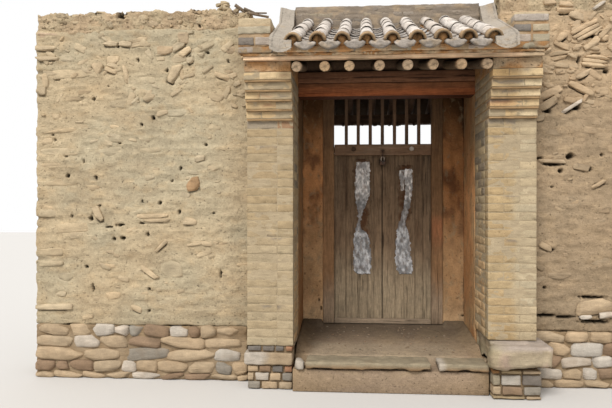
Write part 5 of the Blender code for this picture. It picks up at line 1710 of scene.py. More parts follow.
class GATEWAY_OT_lintels(bpy.types.Operator):
    """Lay the two beams over the opening"""

    bl_idname = "gateway.lintels"
    bl_label = "Lintels"

    def execute(self, context):
        low, high = corners("upper_lintel")

        def tint(points):
            split = low[2] + 0.045 + 0.008 * noise(points, 0.25, 4)
            crack = 1 - smooth(np.abs(points[:, 2] - split), 0.002, 0.006)
            # Painted shade: the beam darkens towards its top, between the rafters
            shade = 1 - 0.32 * smooth(points[:, 2], low[2] + 0.03, low[2] + 0.07)
            return colour("dark_wood") * (1.34, 1.04, 0.92) * (shade * (1 - 0.85 * crack))[:, None]

        one_beam("upper_lintel", "upper_lintel_beam", 81, 0, tint, 0.003, 0.012, "dark_wood")
        low, high = corners("lower_lintel")

        def lower_tint(points):
            y, z = points[:, 1], points[:, 2]
            warm = smooth(z + 0.02 * noise(points, (0.3, 0.1, 0.03), 6), high[2] - 0.02, low[2] + 0.01)
            red = colour("red_wood")
            tone = blend(red * (0.80, 0.92, 0.93), red * (1.2, 1.08, 0.92), warm)
            # Painted shade: the beam's underside is darkened
            under = smooth(y, low[1] + 0.008, low[1] + 0.02) * smooth(z, low[2] + 0.02, low[2] + 0.008)
            return tone * (1 - 0.78 * under)[:, None]

        one_beam("lower_lintel", "lower_lintel_beam", 82, 0, lower_tint, 0.003, 0.012, "red_wood")
        return {"FINISHED"}


# Year rings on a log's end, as radians for each metre of its radius
RINGS = 950
# Where the purlin lies over the depth
PURLIN_PLACE = 0.68
PLATE_CHIPS = 70


class GATEWAY_OT_rafters(bpy.types.Operator):
    """Lay the round rafters of the eave, and the purlin, plate and rafters of the rear roof"""

    bl_idname = "gateway.rafters"
    bl_label = "Rafters"

    def execute(self, context):
        for number in range(1, RAFTERS + 1):
            node = f"rafter_{number}"
            start, end, _ = log_axis(node)
            pile = Pile(90 + number)
            points, faces = log(start, end, RAFTER_RADIUS, pile, 32)
            grey = pile.draw(0, 0.6) ** 2
            tone = blend(colour("pale_wood") * (1.6, 1.45, 1.2), colour("tile") * 1.5, grey)
            across, up = points[:, 0] - start[0], points[:, 2] - start[2]
            # Painted shade: each rafter darkens from its end inwards, under the roof
            deep = smooth(points[:, 1], start[1] + 0.015, start[1] + 0.13)
            rings = 1 + 0.12 * np.sin(np.hypot(across, up) * RINGS + 2 * noise(points, 0.02, number))
            split = 1 - 0.6 * smooth(np.abs(across * 0.4 - up + 0.004 * noise(points, 0.02, 3)), 0.003, 0.001)
            pile.add(points, faces, tone * (rings * split * (1 - 0.72 * deep))[:, None])
            pile.make(node + "_log", finish("pale_wood", 1), [node])
        self.rear_frame()
        return {"FINISHED"}

    def rear_frame(self):
        _, over_rear = roof_lines()
        pitch = roof().rear_pitch
        low, high = corners("rear_roof_frame")
        pile = Pile(99)
        # Painted shade: the rear timbers are darkened under the roof; the rafters turn paler where they come
        # out into the open
        shaded_timber = colour("dark_wood") * 0.55
        drop = REAR_BED + (RAFTER_RADIUS + 0.0003) / math.cos(pitch)
        purlin_top = over_rear(PURLIN_PLACE) - drop - 0.045
        start_y = RIDGE_CENTRE + RAFTER_RADIUS * math.sin(pitch) + 0.0006
        end_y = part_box("rear_roof_bed")[1][1]
        for number in range(1, RAFTERS + 1):
            log_low, log_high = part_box(f"rafter_{number}")
            x = (log_low[0] + log_high[0]) / 2
            start = (x, start_y, over_rear(start_y) - drop)
            end = (x, end_y, over_rear(end_y) - drop)
            points, faces = log(start, end, RAFTER_RADIUS, pile, 16)
            open_air = smooth(points[:, 1], end_y - 0.15, end_y)
            pile.add(points, faces, blend(shaded_timber, pile.varied(colour("pale_wood"), 0.15), open_air))
        beam(pile, (low[0], 1.86, low[2]), (high[0], 1.98, low[2] + 0.12), 0, shaded_timber, 0.002)
        for _ in range(PLATE_CHIPS):
            spot = pile.draw((low[0] + 0.05, 1.84, low[2] - 0.006), (high[0] - 0.05, 1.9, low[2] + 0.03))
            width = pile.draw(0.02, 0.07)
            points, quads = stone(spot, (width, 0.03, width * 0.6), pile.chance,
                                  (0, pile.chance.normal(0, 0.6), 0), 2.6, 4, 0.2, 3)
            pile.add(points, quads, shaded_timber * 0.8)
        lintel_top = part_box("upper_lintel")[1][2]
        centre = (lintel_top + purlin_top) / 2
        radius = max(0.02, (purlin_top - lintel_top) / 2)
        half = PASSAGE_HALF - 0.001
        points, faces = log((-half, PURLIN_PLACE, centre), (half, PURLIN_PLACE, centre), radius, pile)
        pile.add(points, faces, shaded_timber)
        pile.make("rear_frame_logs", finish("dark_wood", 1), ["rear_roof_frame"])


EAVE_CLODS = 150


class GATEWAY_OT_eave(bpy.types.Operator):
    """Build the band under the tiles: board, mud and bricks"""

    bl_idname = "gateway.eave"
    bl_label = "Eave band"

    def execute(self, context):
        def tint(points):
            patch = rough(points, (0.22, 0.1, 0.03), 102, 4)
            # Painted light: the board is made much paler to lift it out of the tiles' shade
            tone = blend(colour("pale_wood") * (2.2, 2.05, 1.9), colour("clod") * 1.15,
                         smooth(patch, 0.0, 0.5) * 0.8)
            return blend(tone, colour("clod") * 1.1, smooth(points[:, 0], 1.08, 1.16))

        one_beam("eave_board", "eave_board_wood", 101, 0, tint, 0.0026, 0.008, "pale_wood",
                 0.004)
        low, high = corners("eave_mud_layer")
        pile = Pile(103)

        def mud(points):
            tone = patchy(points, colour("orange_mud") * 1.5, colour("clod") * 1.5, 0.08, 103, -0.4, 0.3)
            return tone * (1 - 0.5 * smooth(rough(points, (0.12, 0.1, 0.02), 109, 3), 0.2, 0.5))[:, None]

        mud_mass(pile, low, high, 0.01, 0.005, mud, 103, 0.008, scale=0.05)
        clod_row(pile, low + (0.02, 0.008, 0.004), (high[0] - 0.02, low[1] + 0.03, high[2] - 0.002),
                 EAVE_CLODS, colour("clod") * 1.4, (0.012, 0.035))
        pile.make("eave_mud", finish("clods"), ["eave_mud_layer"])
        self.bricks()
        return {"FINISHED"}

    def bricks(self):
        low, high = corners("eave_brick_course")
        pile = Pile(104)
        joints = [photo_place(across, 50, low[1])[0] for across in (312, 322, 356, 391, 412, 468)]
        ends = [low[0], -1.21, -1.03, -0.87, *joints[:5], 0.42, joints[5], 0.80, 0.96, 1.10, 1.24, high[0]]
        tones = ("tile", "grey_brick", "clod", "clod", "orange_mud", "grey_brick", "clod", "khaki_brick",
                 "clod", "orange_mud", "tile", "grey_brick", "tile", "khaki_brick", "clod")
        for start, end, tone in zip(ends, ends[1:], tones):
            # Painted light: the bricks are made much paler in the roof's shade, and half as pale where the
            # band comes out of it
            open_air = smooth(abs(start + end) / 2, *OPEN_AIR)
            tint = pile.varied(colour(tone) * 1.65 * (1 - 0.5 * open_air), 0.08)
            brick(pile, (start + 0.004, low[1] + pile.draw(0, 0.006), low[2] + 0.001),
                  (end - 0.004, high[1], high[2] - pile.draw(0.001, 0.008)), tint, 0.006, 0.015)

        def mud(points):
            # Painted light: the mud is made paler in the roof's shade, and half as pale where the band comes
            # out of it
            tone = patchy(points, colour("orange_mud") * 1.9, colour("clod") * 1.35, 0.1, 108, -0.2, 0.3)
            return tone * (1 - 0.5 * smooth(np.abs(points[:, 0]), *OPEN_AIR))[:, None]

        mud_mass(pile, low + (0.006, 0.004, 0.001), high - (0.006, 0, 0.001), 0.014, 0.006, mud, 105, 0.004,
                 scale=0.08)
        pile.make("eave_bricks", finish("brick"), ["eave_brick_course"])


# Courses of the end blocks from the top down: thickness and tones of the bricks, or none for mud
END_COURSES = {
    -1: ((0.074, ()), (0.068, ("khaki_brick",)), (0.030, ()), (0.070, ("grey_brick", "tile"))),
    1: ((0.018, ()), (0.060, ("tile",)), (0.027, ()), (0.060, ("grey_brick", "khaki_brick")), (0.026, ()),
        (0.066, ("tile", "khaki_brick"))),
}
# Where the front part of a shoulder ends over the depth
END_BODY_REAR = 0.249


def end_block(name, side, seed):
    """One shoulder: mud with its courses of brick in front, and mud behind it down to the rafters."""
    low, high = corners(name)
    brick_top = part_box("eave_brick_course")[1][2] + CLEAR
    pile = Pile(seed)
    level = high[2]
    line = rafter_line()

    def mud(points):
        share = 0.25 + 0.6 * smooth(rough(points, 0.1, seed, 3), -0.4, 0.2)
        tone = blend(colour("orange_mud") * 1.1, colour("clod"), share)
        return blend(tone, colour("mud"), smooth(points[:, 2], high[2] - 0.10, high[2] - 0.05))

    near, far = sorted((abs(low[0]), abs(high[0])))
    body_low = np.array((near * side, low[1] + 0.010, brick_top))
    body_high = np.array((far * side, END_BODY_REAR, high[2]))
    body_low[0], body_high[0] = sorted((body_low[0], body_high[0]))
    mud_mass(pile, body_low + (0.001, 0, 0), body_high - (0.006, 0, 0), 0.016, 0.008, mud, seed, 0.012)
    back_low = np.array((near * side, 0.2, 0.0))
    back_high = np.array((PIER_OUTER * side, high[1], 1.0))
    back_low[0], back_high[0] = sorted((back_low[0], back_high[0]))

    between = laid_between(lambda y: line(y) + 0.001, lambda y: high[2])
    mud_mass(pile, back_low, back_high, 0.04, 0.003, mud, seed, 0.008, between)
    for thickness, tones in END_COURSES[side]:
        foot = max(level - thickness, brick_top)
        width = (body_high[0] - body_low[0]) / max(1, len(tones))
        for number, tone in enumerate(tones):
            start = body_low[0] + number * width + 0.005 * number
            brick(pile, (start, low[1], foot), (start + width - 0.010, low[1] + 0.12, level),
                  pile.varied(colour(tone) * 1.12, 0.06), 0.006, 0.016)
        if tones:
            outer = body_high[0] if side > 0 else body_low[0]
            first, last = sorted((outer, outer - side * 0.12))
            brick(pile, (first, low[1] + 0.13, foot), (last, END_BODY_REAR, level),
                  pile.varied(colour(tones[-1]), 0.1), 0.004, 0.03)
        level = foot
    pile.make(name + "_bricks", finish("brick"), [name])


class GATEWAY_OT_end_blocks(bpy.types.Operator):
    """Lay the brick shoulders at both ends of the eave"""

    bl_idname = "gateway.end_blocks"
    bl_label = "End blocks"

    def execute(self, context):
        end_block("left_end_block", -1, 111)
        end_block("right_end_block", 1, 112)
        return {"FINISHED"}


class GATEWAY_OT_roof_beds(bpy.types.Operator):
    """Spread the mud beds that the tiles lie on"""

    bl_idname = "gateway.roof_beds"
    bl_label = "Roof beds"

    def execute(self, context):
        over_front, over_rear = roof_lines()
        line = rafter_line()

        def mud(points):
            tone = patchy(points, colour("orange_mud"), colour("clod"), 0.12, 121, -0.2, 0.4)
            # Painted shade: the bed darkens towards its underside, between the rafters
            return tone * (0.12 + 0.88 * smooth(points[:, 2], 0.1, 0.5))[:, None]

        low, high = corners("front_roof_bed")
        brick_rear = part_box("eave_brick_course")[1][1] + CLEAR
        brick_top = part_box("eave_brick_course")[1][2] + CLEAR

        front = laid_between(lambda y: np.where(y < brick_rear, brick_top, line(y) + CLEAR),
                             lambda y: over_front(y) - CLEAR)
        pile = Pile(121)
        mud_mass(pile, (*low[:2], 0.0), (*high[:2], 1.0), (0.04, 0.02, 0.3), 0.0, mud, 121, 0.004, front)
        pile.make("front_bed_mud", finish("clods"), ["front_roof_bed"])
        low, high = corners("rear_roof_bed")

        def rear(points, facing, tints):
            top = over_rear(points[:, 1]) - CLEAR
            points[:, 2] = top - (1 - points[:, 2]) * (REAR_BED - 0.001)
            return points, tints

        pile = Pile(122)
        mud_mass(pile, (*low[:2], 0.0), (*high[:2], 1.0), (0.04, 0.03, 0.3), 0.0, mud, 122, 0.004, rear)
        pile.make("rear_bed_mud", finish("clods"), ["rear_roof_bed"])
        return {"FINISHED"}


def on_front(points):
    """From across, up the slope and off the slope, to the front of the roof."""
    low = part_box("front_tiles")[0]
    pitch = roof().front_pitch
    sine, cosine = math.sin(pitch), math.cos(pitch)
    y = low[1] + TILE_BAND * sine + points[:, 1] * cosine - points[:, 2] * sine
    z = low[2] + points[:, 1] * sine + points[:, 2] * cosine
    return np.stack([points[:, 0], y, z], axis=1)


def on_rear(points):
    """The same places on the rear of the roof, seen from behind."""
    low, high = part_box("rear_tiles")
    pitch = roof().rear_pitch
    sine, cosine = math.sin(pitch), math.cos(pitch)
    y = high[1] - TILE_BAND * sine - points[:, 1] * cosine + points[:, 2] * sine
    z = low[2] + points[:, 1] * sine + points[:, 2] * cosine
    return np.stack([-points[:, 0], y, z], axis=1)


def arc_tile(pile, place, tint, across, start, length, radius, half_angle, thickness, lift, base, convex,
             taper=0.0, fade=0.0, under=0.22):
    """A curved tile in slope places, across, up the slope and off the slope, with painted shade on its
    underside.
    """
    places, quads = shell(14 if convex else 10, 3, 1)
    share = places / places.max(axis=0)
    angle = (share[:, 0] * 2 - 1) * half_angle
    layer = share[:, 2]
    size = 1 + pile.draw(-0.02, 0.02) + taper * (0.5 - share[:, 1])
    if convex:
        reach = (radius - thickness * (1 - layer)) * size
        height = base + reach * np.cos(angle)
    else:
        reach = radius - thickness * layer
        height = base + radius - reach * np.cos(angle)
    height = height + lift * (1 - share[:, 1])
    lean = pile.draw(-0.02, 0.02)
    x = across + reach * np.sin(angle) + lean * share[:, 1] * length
    climb = start + share[:, 1] * length + pile.draw(-0.003, 0.003)
    points = np.stack([x, climb, height], axis=1)
    points = points + 0.0018 * np.stack([noise(points + 5 * n, 0.03, n) for n in range(3)], axis=1)
    # Painted shade: darker underneath, and darker back from the front edge by the share in fade, so that the
    # edge stands out light
    shade = (under + (1 - under) * layer) * (1 - fade * np.minimum(1, 3 * share[:, 1]))
    pile.add(place(points), quads, np.asarray(tint) * shade[:, None])


def eave_lip(pile, place, across, radius):
    """The thick rounded end of a pan row, filled nearly level and hanging a little below the tiles."""
    half_angle = math.radians(58)
    places, quads = shell(18, 4, 6)
    share = places / (18, 4, 6)
    side = share[:, 0] * 2 - 1
    angle = side * half_angle
    deep = 0.66 * radius - 0.40 * radius * side ** 2
    reach = radius - deep * share[:, 2]
    height = radius - 0.028 - reach * np.cos(angle)
    points = np.stack([across + reach * np.sin(angle), 0.004 + 0.09 * share[:, 1], height], axis=1)
    swell = np.stack([rough(points, 0.03, 60 + axis, 3) for axis in range(3)], axis=1)
    points = points + 0.0055 * swell
    speck = 1 + 0.34 * noise(points, 0.0075, 7) + 0.22 * noise(points, 0.02, 8)
    # Painted shade: the lip darkens towards its underside
    under = 1 - 0.45 * smooth(share[:, 2], 0.35, 0.0)
    tone = blend(colour("limed_tile"), colour("clod") * 1.2, smooth(noise(points, 0.05, 9), 0.1, 0.6) * 0.6)
    pile.add(place(points), quads, tone * 0.80 * (speck * under)[:, None])


# Tiles: radii of the pans, of their lips, of the covers and of the rims at the covers' ends
PAN_RADIUS = 0.098
PAN_HALF_ANGLE = math.radians(61)
LIP_RADIUS = 0.113
VERGE_LIP_RADIUS = 0.105
COVER_RADIUS = 0.061
COVER_THICKNESS = 0.009
RIM_RADIUS = 0.072
RIM_THICKNESS = 0.024


def tiled_slope(name, place, seed, mirrored):
    """The pan rows of one slope with their lips, and the cover rows with their rims and bedding."""
    low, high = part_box(name)
    pitch = roof().rear_pitch if mirrored else roof().front_pitch
    rise = high[2] - low[2] - TILE_BAND * math.cos(pitch)
    length = rise / math.sin(pitch)
    step = roof().pan_step * (1.35 if mirrored else 1.0)
    thickness = roof().tile_thickness
    pile = Pile(seed)
    first = -TILE_PITCH * (TILE_ROWS - 1) / 2
    pale = colour("limed_tile") * (1.28, 1.32, 1.38)
    for row in range(TILE_ROWS):
        across = first + row * TILE_PITCH
        if 0 < row < TILE_ROWS - 1:
            eave_lip(pile, place, across, LIP_RADIUS)
        start = 0.07
        while start < length - 0.02:
            reach = min(step * 2.1, length - start)
            slip = across + pile.draw(-0.005, 0.005)
            tone = pile.varied(blend(colour("tile"), pale, pile.draw(0.4, 1)), 0.12) * 0.88
            arc_tile(pile, place, tone, slip, start, reach, PAN_RADIUS, PAN_HALF_ANGLE, thickness, 0.030,
                     0.001, False, 0.0, 0.55 if mirrored else 0.86, 0.7)
            start += step * pile.draw(0.8, 1.15)
    covers = Pile(seed + 1)
    for row in range(TILE_ROWS - 1):
        across = first + (row + 0.5) * TILE_PITCH
        start = 0.034
        while start < length - 0.03:
            reach = min(roof().cover_step * 1.3, length - start)
            tone = covers.varied(blend(pale, colour("tile") * 1.25, covers.draw(0, 0.4)), 0.04) * 1.03
            base = 0.056 + 0.028 * start / length
            slip = across + covers.draw(-0.005, 0.005)
            arc_tile(covers, place, tone, slip, start, reach, COVER_RADIUS, math.radians(90), COVER_THICKNESS,
                     0.005, base, True, 0.03)
            start += roof().cover_step * covers.draw(0.55, 1.3)
        rim = covers.varied(colour("clod") * (0.98, 0.9, 0.82), 0.1)
        arc_tile(covers, place, rim, across, 0.008, 0.07, RIM_RADIUS, math.radians(92), RIM_THICKNESS, 0.0,
                 0.046 + covers.draw(-0.004, 0.006), True)
        fill_row(pile, across, length, place)
    pile.make(name + "_pans", finish("tile"), [name])
    covers.make(name + "_covers", finish("tile"))


def fill_row(pile, across, length, place):
    """The mud that the cover tiles are bedded in, showing at the eave."""
    points, facing, quads = block((across - 0.052, 0.030, 0.0), (across + 0.052, length, 0.100),
                                  (0.008, 0.08, 0.008), 0.045)
    points = points + facing * (0.010 * rough(points, 0.025, 7, 3))[:, None]
    # Painted shade: dark patches in the bedding mud near the eave, in the hollows under the covers
    hollow = smooth(rough(points, 0.03, 17, 2), 0.0, 0.4) * smooth(points[:, 1], 0.10, 0.05)
    pile.add(place(points), quads, colour("orange_mud") * 1.25 * (1 - 0.75 * hollow)[:, None], apart=False)


class GATEWAY_OT_tiles(bpy.types.Operator):
    """Lay the pan tiles and the cover tiles of both slopes"""

    bl_idname = "gateway.tiles"
    bl_label = "Roof tiles"

    def execute(self, context):
        tiled_slope("front_tiles", drawn_in, 131, False)
        tiled_slope("rear_tiles", on_rear, 141, True)
        return {"FINISHED"}


class GATEWAY_OT_ridge(bpy.types.Operator):
    """Lay the low brick wall of the ridge"""

    bl_idname = "gateway.ridge"
    bl_label = "Ridge"

    def execute(self, context):
        over_front, over_rear = roof_lines()
        low, high = corners("ridge")
        pile = Pile(151)
        base = blend(colour("tile"), colour("clod"), 0.3) * 0.62

        def shape(points, facing, tints):
            y = points[:, 1]
            foot = np.minimum(over_front(y), over_rear(y)) + 0.001
            ragged = 0.010 * np.abs(rough(points, (0.12, 0.2, 1), 155, 3))
            points[:, 2] = foot + points[:, 2] * (high[2] - ragged - foot)
            batter = 0.03 * (points[:, 2] - low[2]) / (high[2] - low[2])
            points[:, 1] = RIDGE_CENTRE + (y - RIDGE_CENTRE) * (1 - batter / 0.14)
            return points, tints

        def tint(points):
            bits = rough(points, (0.10, 0.2, 0.2), 152, 3)
            bands = noise(points, (0.3, 0.3, 0.16), 153)
            tone = blend(base, colour("clod") * 1.05, smooth(bits, 0.1, 0.4) * 0.5)
            return blend(tone, base * (0.78, 0.8, 0.85), smooth(bands, 0.25, 0.4) * 0.6)

        mud_mass(pile, (*low[:2], 0.0), (*high[:2], 1.0), (0.014, 0.03, 0.06), 0.005, tint, 151,
                 0.01, shape, 0.004, 0.06)
        step = 0.046
        for level in np.arange(high[2] - 0.060, over_front(low[1]) + 0.02, -step - 0.012):
            inset = 0.03 * (level - low[2]) / (high[2] - low[2])
            place = low[0] + 0.01
            while place < high[0] - 0.06:
                end = min(place + pile.draw(0.08, 0.22), high[0] - 0.01)
                if pile.draw() < 0.38:
                    tone = colour(("grey_brick", "tile", "khaki_brick", "tile")[pile.chance.integers(4)])
                    for face, depth in ((low[1] + inset + 0.0015, 0.05), (high[1] - inset - 0.0015, -0.05)):
                        first, last = sorted((face, face + depth))
                        brick(pile, (place + 0.004, max(first, low[1]), level),
                              (end - 0.004, min(last, high[1]), level + step),
                              pile.varied(blend(tone, base, 0.55), 0.06), 0.006, 0.02)
                place = end
        pile.make("ridge_wall", finish("brick"), ["ridge"])
        return {"FINISHED"}


# Where the verges end over the street
VERGE_FRONT = -0.436


class GATEWAY_OT_verges(bpy.types.Operator):
    """Plaster the pale borders of the roof"""

    bl_idname = "gateway.verges"
    bl_label = "Verges"

    def execute(self, context):
        over_front, over_rear = roof_lines()
        ridge_low, ridge_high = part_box("ridge")
        for node, side, seed in (("left_verge", -1, 161), ("right_verge", 1, 162)):
            low, high = corners(node)
            low[1] = VERGE_FRONT
            middle, half = (low[0] + high[0]) / 2, (high[0] - low[0]) / 2
            outer = high[0] if side > 0 else low[0]
            ahead, behind = ridge_low[1] - 0.12, ridge_high[1] + 0.12
            marks = ((low[1], over_front(low[1]) + 0.105), (ahead, over_front(ahead) + 0.13),
                     (ridge_low[1] + 0.02, high[2]), (ridge_high[1] - 0.02, high[2]),
                     (behind, over_rear(behind) + 0.13), (high[1], over_rear(high[1]) + 0.13))
            places, tops = zip(*marks)
            pile = Pile(seed)

            def bend(points, facing, tints):
                y = points[:, 1]
                foot = np.minimum(over_front(y), over_rear(y)) + 0.001
                top = np.interp(y, places, tops)
                across = (points[:, 0] - middle) / half
                inner = (1 - across * side) / 2
                front = 0.050 * smooth(y, 0.25, -0.38)
                tilt = 0.030 * smooth(-across * side, -1.0, 1.0)
                part = np.clip(points[:, 2], 0, 1)
                nose = smooth(y, low[1] + 0.10, low[1])
                points[:, 0] -= side * inner * front
                points[:, 2] = foot + part * (top - foot - 0.003 - tilt)
                points[:, 2] -= nose * (1 - part) * 0.036 * (1 - across ** 2)
                points[:, 1] += 0.022 * nose * part ** 2
                return points, tints

            def tint(points):
                edge = np.abs(np.abs(points[:, 0] - outer) - 0.022)
                nose = np.abs(points[:, 1] - low[1] - 0.06)
                line = 1 - smooth(np.minimum(edge, nose) + 0.002 * noise(points, 0.05, seed), 0.0025, 0.006)
                patch = rough(points, (0.10, 0.16, 0.1), seed, 4)
                tone = blend(colour("lime") * 0.76, colour("clod") * 0.9, smooth(patch, 0.0, 0.5) * 0.6)
                return tone * (1 - 0.42 * line)[:, None]

            mud_mass(pile, (*low[:2], 0.0), (*high[:2], 1.0), (0.008, 0.010, 0.1), 0.0035, tint,
                     seed, 0.005, bend, 0.0, 0.08)
            eave_lip(pile, on_front, side * TILE_PITCH * (TILE_ROWS - 1) / 2, VERGE_LIP_RADIUS)
            pile.make(node + "_plaster", finish("lime"), [node], smooth_faces=False)
        return {"FINISHED"}


# The barred light: heights of its lower rail and its head, and the width of a bar
LIGHT_RAIL = 0.125
LIGHT_HEAD = 0.075
LIGHT_BAR = 0.039
# The pivot rail behind it, and the two pegs through that rail
RAIL_DEPTH = 0.0896
PEG_PLACE = 0.318
PEG_RADIUS = 0.026


class GATEWAY_OT_door_frame(bpy.types.Operator):
    """Set the posts, sill, barred light, pivot rail and pivot stones of the door"""

    bl_idname = "gateway.door_frame"
    bl_label = "Door frame"

    def execute(self, context):
        for side, name in ((-1, "left"), (1, "right")):
            self.post(name + "_door_post", side)
            self.pivot_stone(name + "_pivot_stone")
        one_beam("door_sill", "door_sill_wood", 171, 0, colour("pale_wood") * 0.7, 0.0024, 0.012, "pale_wood")
        self.light()
        self.pivot_rail()
        return {"FINISHED"}

    def post(self, node, side):
        def tint(points):
            pale = smooth(points[:, 2] + 0.08 * rough(points, (0.04, 0.04, 0.4), 173), 1.0, 0.6)
            tone = blend(colour("red_wood") * (0.72, 1.15, 1.3), colour("pale_wood") * 0.68, pale * 0.8)
            # Painted shade: the posts darken towards the top, under the roof
            tone = tone * (1 - 0.45 * smooth(points[:, 2], 2.1, 2.8))[:, None]
            red = smooth(np.abs(points[:, 2] - 1.42), 0.2, 0.1) * (side > 0)
            return blend(tone, colour("red_wood") * 1.1, red * 0.45) * (1.12 if side < 0 else 0.92)

        one_beam(node, node + "_wood", 172 + side, 2, tint, 0.0024, 0.014, "dark_wood")

    def pivot_stone(self, node):
        low, high = corners(node)
        pile = Pile(175)
        points, facing, quads = block(low, high, 0.02, 0.008)
        pile.add(points - facing * 0.001, quads, colour("grey_stone"))
        pile.make(node + "_block", finish("stone"), [node])

    def light(self):
        low, high = corners("transom_grille")
        rail, head, width = LIGHT_RAIL, LIGHT_HEAD, LIGHT_BAR
        pile = Pile(176)

        def worn(points):
            across = points[:, 0]
            patch = np.maximum(1 - smooth(np.abs(across + 0.13), 0.04, 0.075),
                               1 - smooth(np.abs(across - 0.04), 0.03, 0.06))
            patch = patch * smooth(noise(points, 0.03, 5), -0.5, 0.3) * (points[:, 2] < low[2] + 0.115)
            return blend(colour("dark_wood") * 1.25, colour("pale_wood") * 0.7, patch * 0.7)

        beam(pile, low, (*high[:2], low[2] + rail), 0, worn, 0.0024, 0.012)
        beam(pile, (*low[:2], high[2] - head), high, 0, colour("dark_wood"), 0.0024, 0.02)
        pile.make("light_rails", finish("dark_wood", 0), ["transom_grille"])
        bars = Pile(177)
        count = timber().bars
        middle = (low[1] + high[1]) / 2
        half = (high[0] - low[0]) / 2 + 0.0003
        for number in range(1, count + 1):
            across = -half + 2 * half * number / (count + 1)
            beam(bars, (across - width / 2, middle - width / 2, low[2] + rail - 0.01),
                 (across + width / 2, middle + width / 2, high[2] - head + 0.01), 2,
                 bars.varied(colour("dark_wood") * 0.8, 0.15), 0.0016, 0.014)
        bars.make("light_bars", finish("dark_wood", 2))

    def pivot_rail(self):
        low, high = corners("pivot_rail")
        pile = Pile(178)
        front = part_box("transom_grille")[1][1] + 0.0004
        beam(pile, (low[0], front, low[2]), (high[0], front + RAIL_DEPTH, high[2]), 0, colour("dark_wood"),
             0.0016, 0.02)
        pile.make("pivot_rail_wood", finish("dark_wood", 0), ["pivot_rail"])
        pegs = Pile(179)
        for side, tone in ((-1, colour("dark_wood") * 0.45), (1, colour("paper") * (0.9, 0.8, 0.68))):
            middle = (low[2] + high[2]) / 2
            across = side * PEG_PLACE
            points, faces = log((across, low[1], middle), (across, high[1], middle), PEG_RADIUS, pegs)
            pegs.add(points, faces, tone)
        pegs.make("rail_pegs", finish("pale_wood", 1))


# Pixels across of the joints between a leaf's boards
LEAF_JOINTS = {"left": (346, 358, 374), "right": (395, 404, 415, 423)}
# Half the gap where the leaves meet
MEETING_HALF = 0.0002
BATTEN_PLACES = (0.62, 1.344, 2.068)
BATTEN_HALF = 0.045
LEAF_THICKNESS = 0.045
STILE_PLACE = 0.56
STILE_RADIUS = 0.0225
PIN_LENGTH = 0.055
PIN_RADIUS = 0.016


def leaf_tint(points, shade):
    """Grey-brown boards: paler towards the foot as painted light, and darkened where the leaves meet as
    painted shade.
    """
    low = smooth(points[:, 2] + 0.10 * rough(points, (0.04, 0.04, 0.35), 181, 3), 1.35, 0.70)
    stain = smooth(rough(points, (0.10, 0.10, 0.35), 183, 3), 0.0, 0.5)
    dark = blend(colour("door"), colour("door") * (0.72, 0.68, 0.66), stain)
    x, z, _ = photo_place(382.5, 161.5, 1.26)
    spot = np.hypot(points[:, 0] - x, (points[:, 2] - z) * 1.2) + 0.012 * noise(points, 0.02, 9)
    soot = smooth(spot, 0.082, 0.030)[:, None]
    # Painted shade in the seam where the leaves meet
    meeting = smooth(np.abs(points[:, :1]), 0.006, 0.002)
    # Painted light: the boards turn paler towards the foot, where more sky light reaches under the lintel
    lit_foot_tone = np.array((0.255, 0.198, 0.13))
    return blend(dark * shade, lit_foot_tone * shade, low * 0.92) * (1 - 0.9 * soot) * (1 - 0.8 * meeting)


def door_leaf(name, side):
    """One leaf: boards, their backing, a dark strip that stands in for the shade where the leaves meet,
    battens, and the stile with its pins.
    """
    node = name + "_door_leaf"
    body = name + "_door"
    low, high = corners(node)
    front = low[1]
    rear = front + LEAF_THICKNESS
    bottom = low[2] + PIN_LENGTH
    top = high[2] - PIN_LENGTH
    axis = (side * STILE_PLACE, front + STILE_RADIUS)
    joints = [photo_place(across, 220, front)[0] for across in LEAF_JOINTS[name]]
    edges = sorted([side * MEETING_HALF, *joints, side * STILE_PLACE])
    pile = Pile(182 + side)
    for start, end in zip(edges, edges[1:]):
        shade = pile.draw(0.92, 1.07)
        slip = pile.draw(0, 0.0015)
        beam(pile, (start + 0.0004, front + slip, bottom), (end - 0.0004, rear - 0.012, top), 2,
             lambda points, shade=shade: leaf_tint(points, shade), 0.0014, 0.008, 0.0022)
    first, last = sorted((side * MEETING_HALF, side * 0.555))
    beam(pile, (first, rear - 0.016, bottom + 0.001), (last, rear - 0.001, top - 0.001), 2,
         colour("door") * 0.8, 0.0012)
    # Painted shade: a dark strip set in the seam where the leaves meet
    first, last = sorted((side * MEETING_HALF, side * 0.03))
    beam(pile, (first, front + 0.008, bottom + 0.002), (last, rear - 0.004, top - 0.002), 2,
         colour("door") * 0.4, 0.0)
    for height in BATTEN_PLACES:
        first, last = sorted((side * 0.06, side * 0.5))
        beam(pile, (first, rear - 0.003, height - BATTEN_HALF), (last, high[1], height + BATTEN_HALF), 0,
             colour("door"), 0.0016)
    pile.make(node + "_planks", finish("door", 2), [node], body)
    pins = Pile(184 + side)
    path = [(*axis, bottom), (*axis, bottom), (*axis, top), (*axis, top)]
    points, faces = swept(path, (0, STILE_RADIUS, STILE_RADIUS, 0), 20)
    pins.add(points, faces, leaf_tint(points, 0.95))
    path = [(*axis, low[2]), (*axis, low[2]), (*axis, high[2]), (*axis, high[2])]
    points, faces = swept(path, (0, PIN_RADIUS, PIN_RADIUS, 0), 16)
    pins.add(points, faces, colour("door") * 0.7)
    pins.make(node + "_stile", finish("door", 2), body=body)


class GATEWAY_OT_door_leaves(bpy.types.Operator):
    """Joint the planks, stiles, pins and battens of both leaves"""

    bl_idname = "gateway.door_leaves"
    bl_label = "Door leaves"

    def execute(self, context):
        door_leaf("left", -1)
        door_leaf("right", 1)
        return {"FINISHED"}


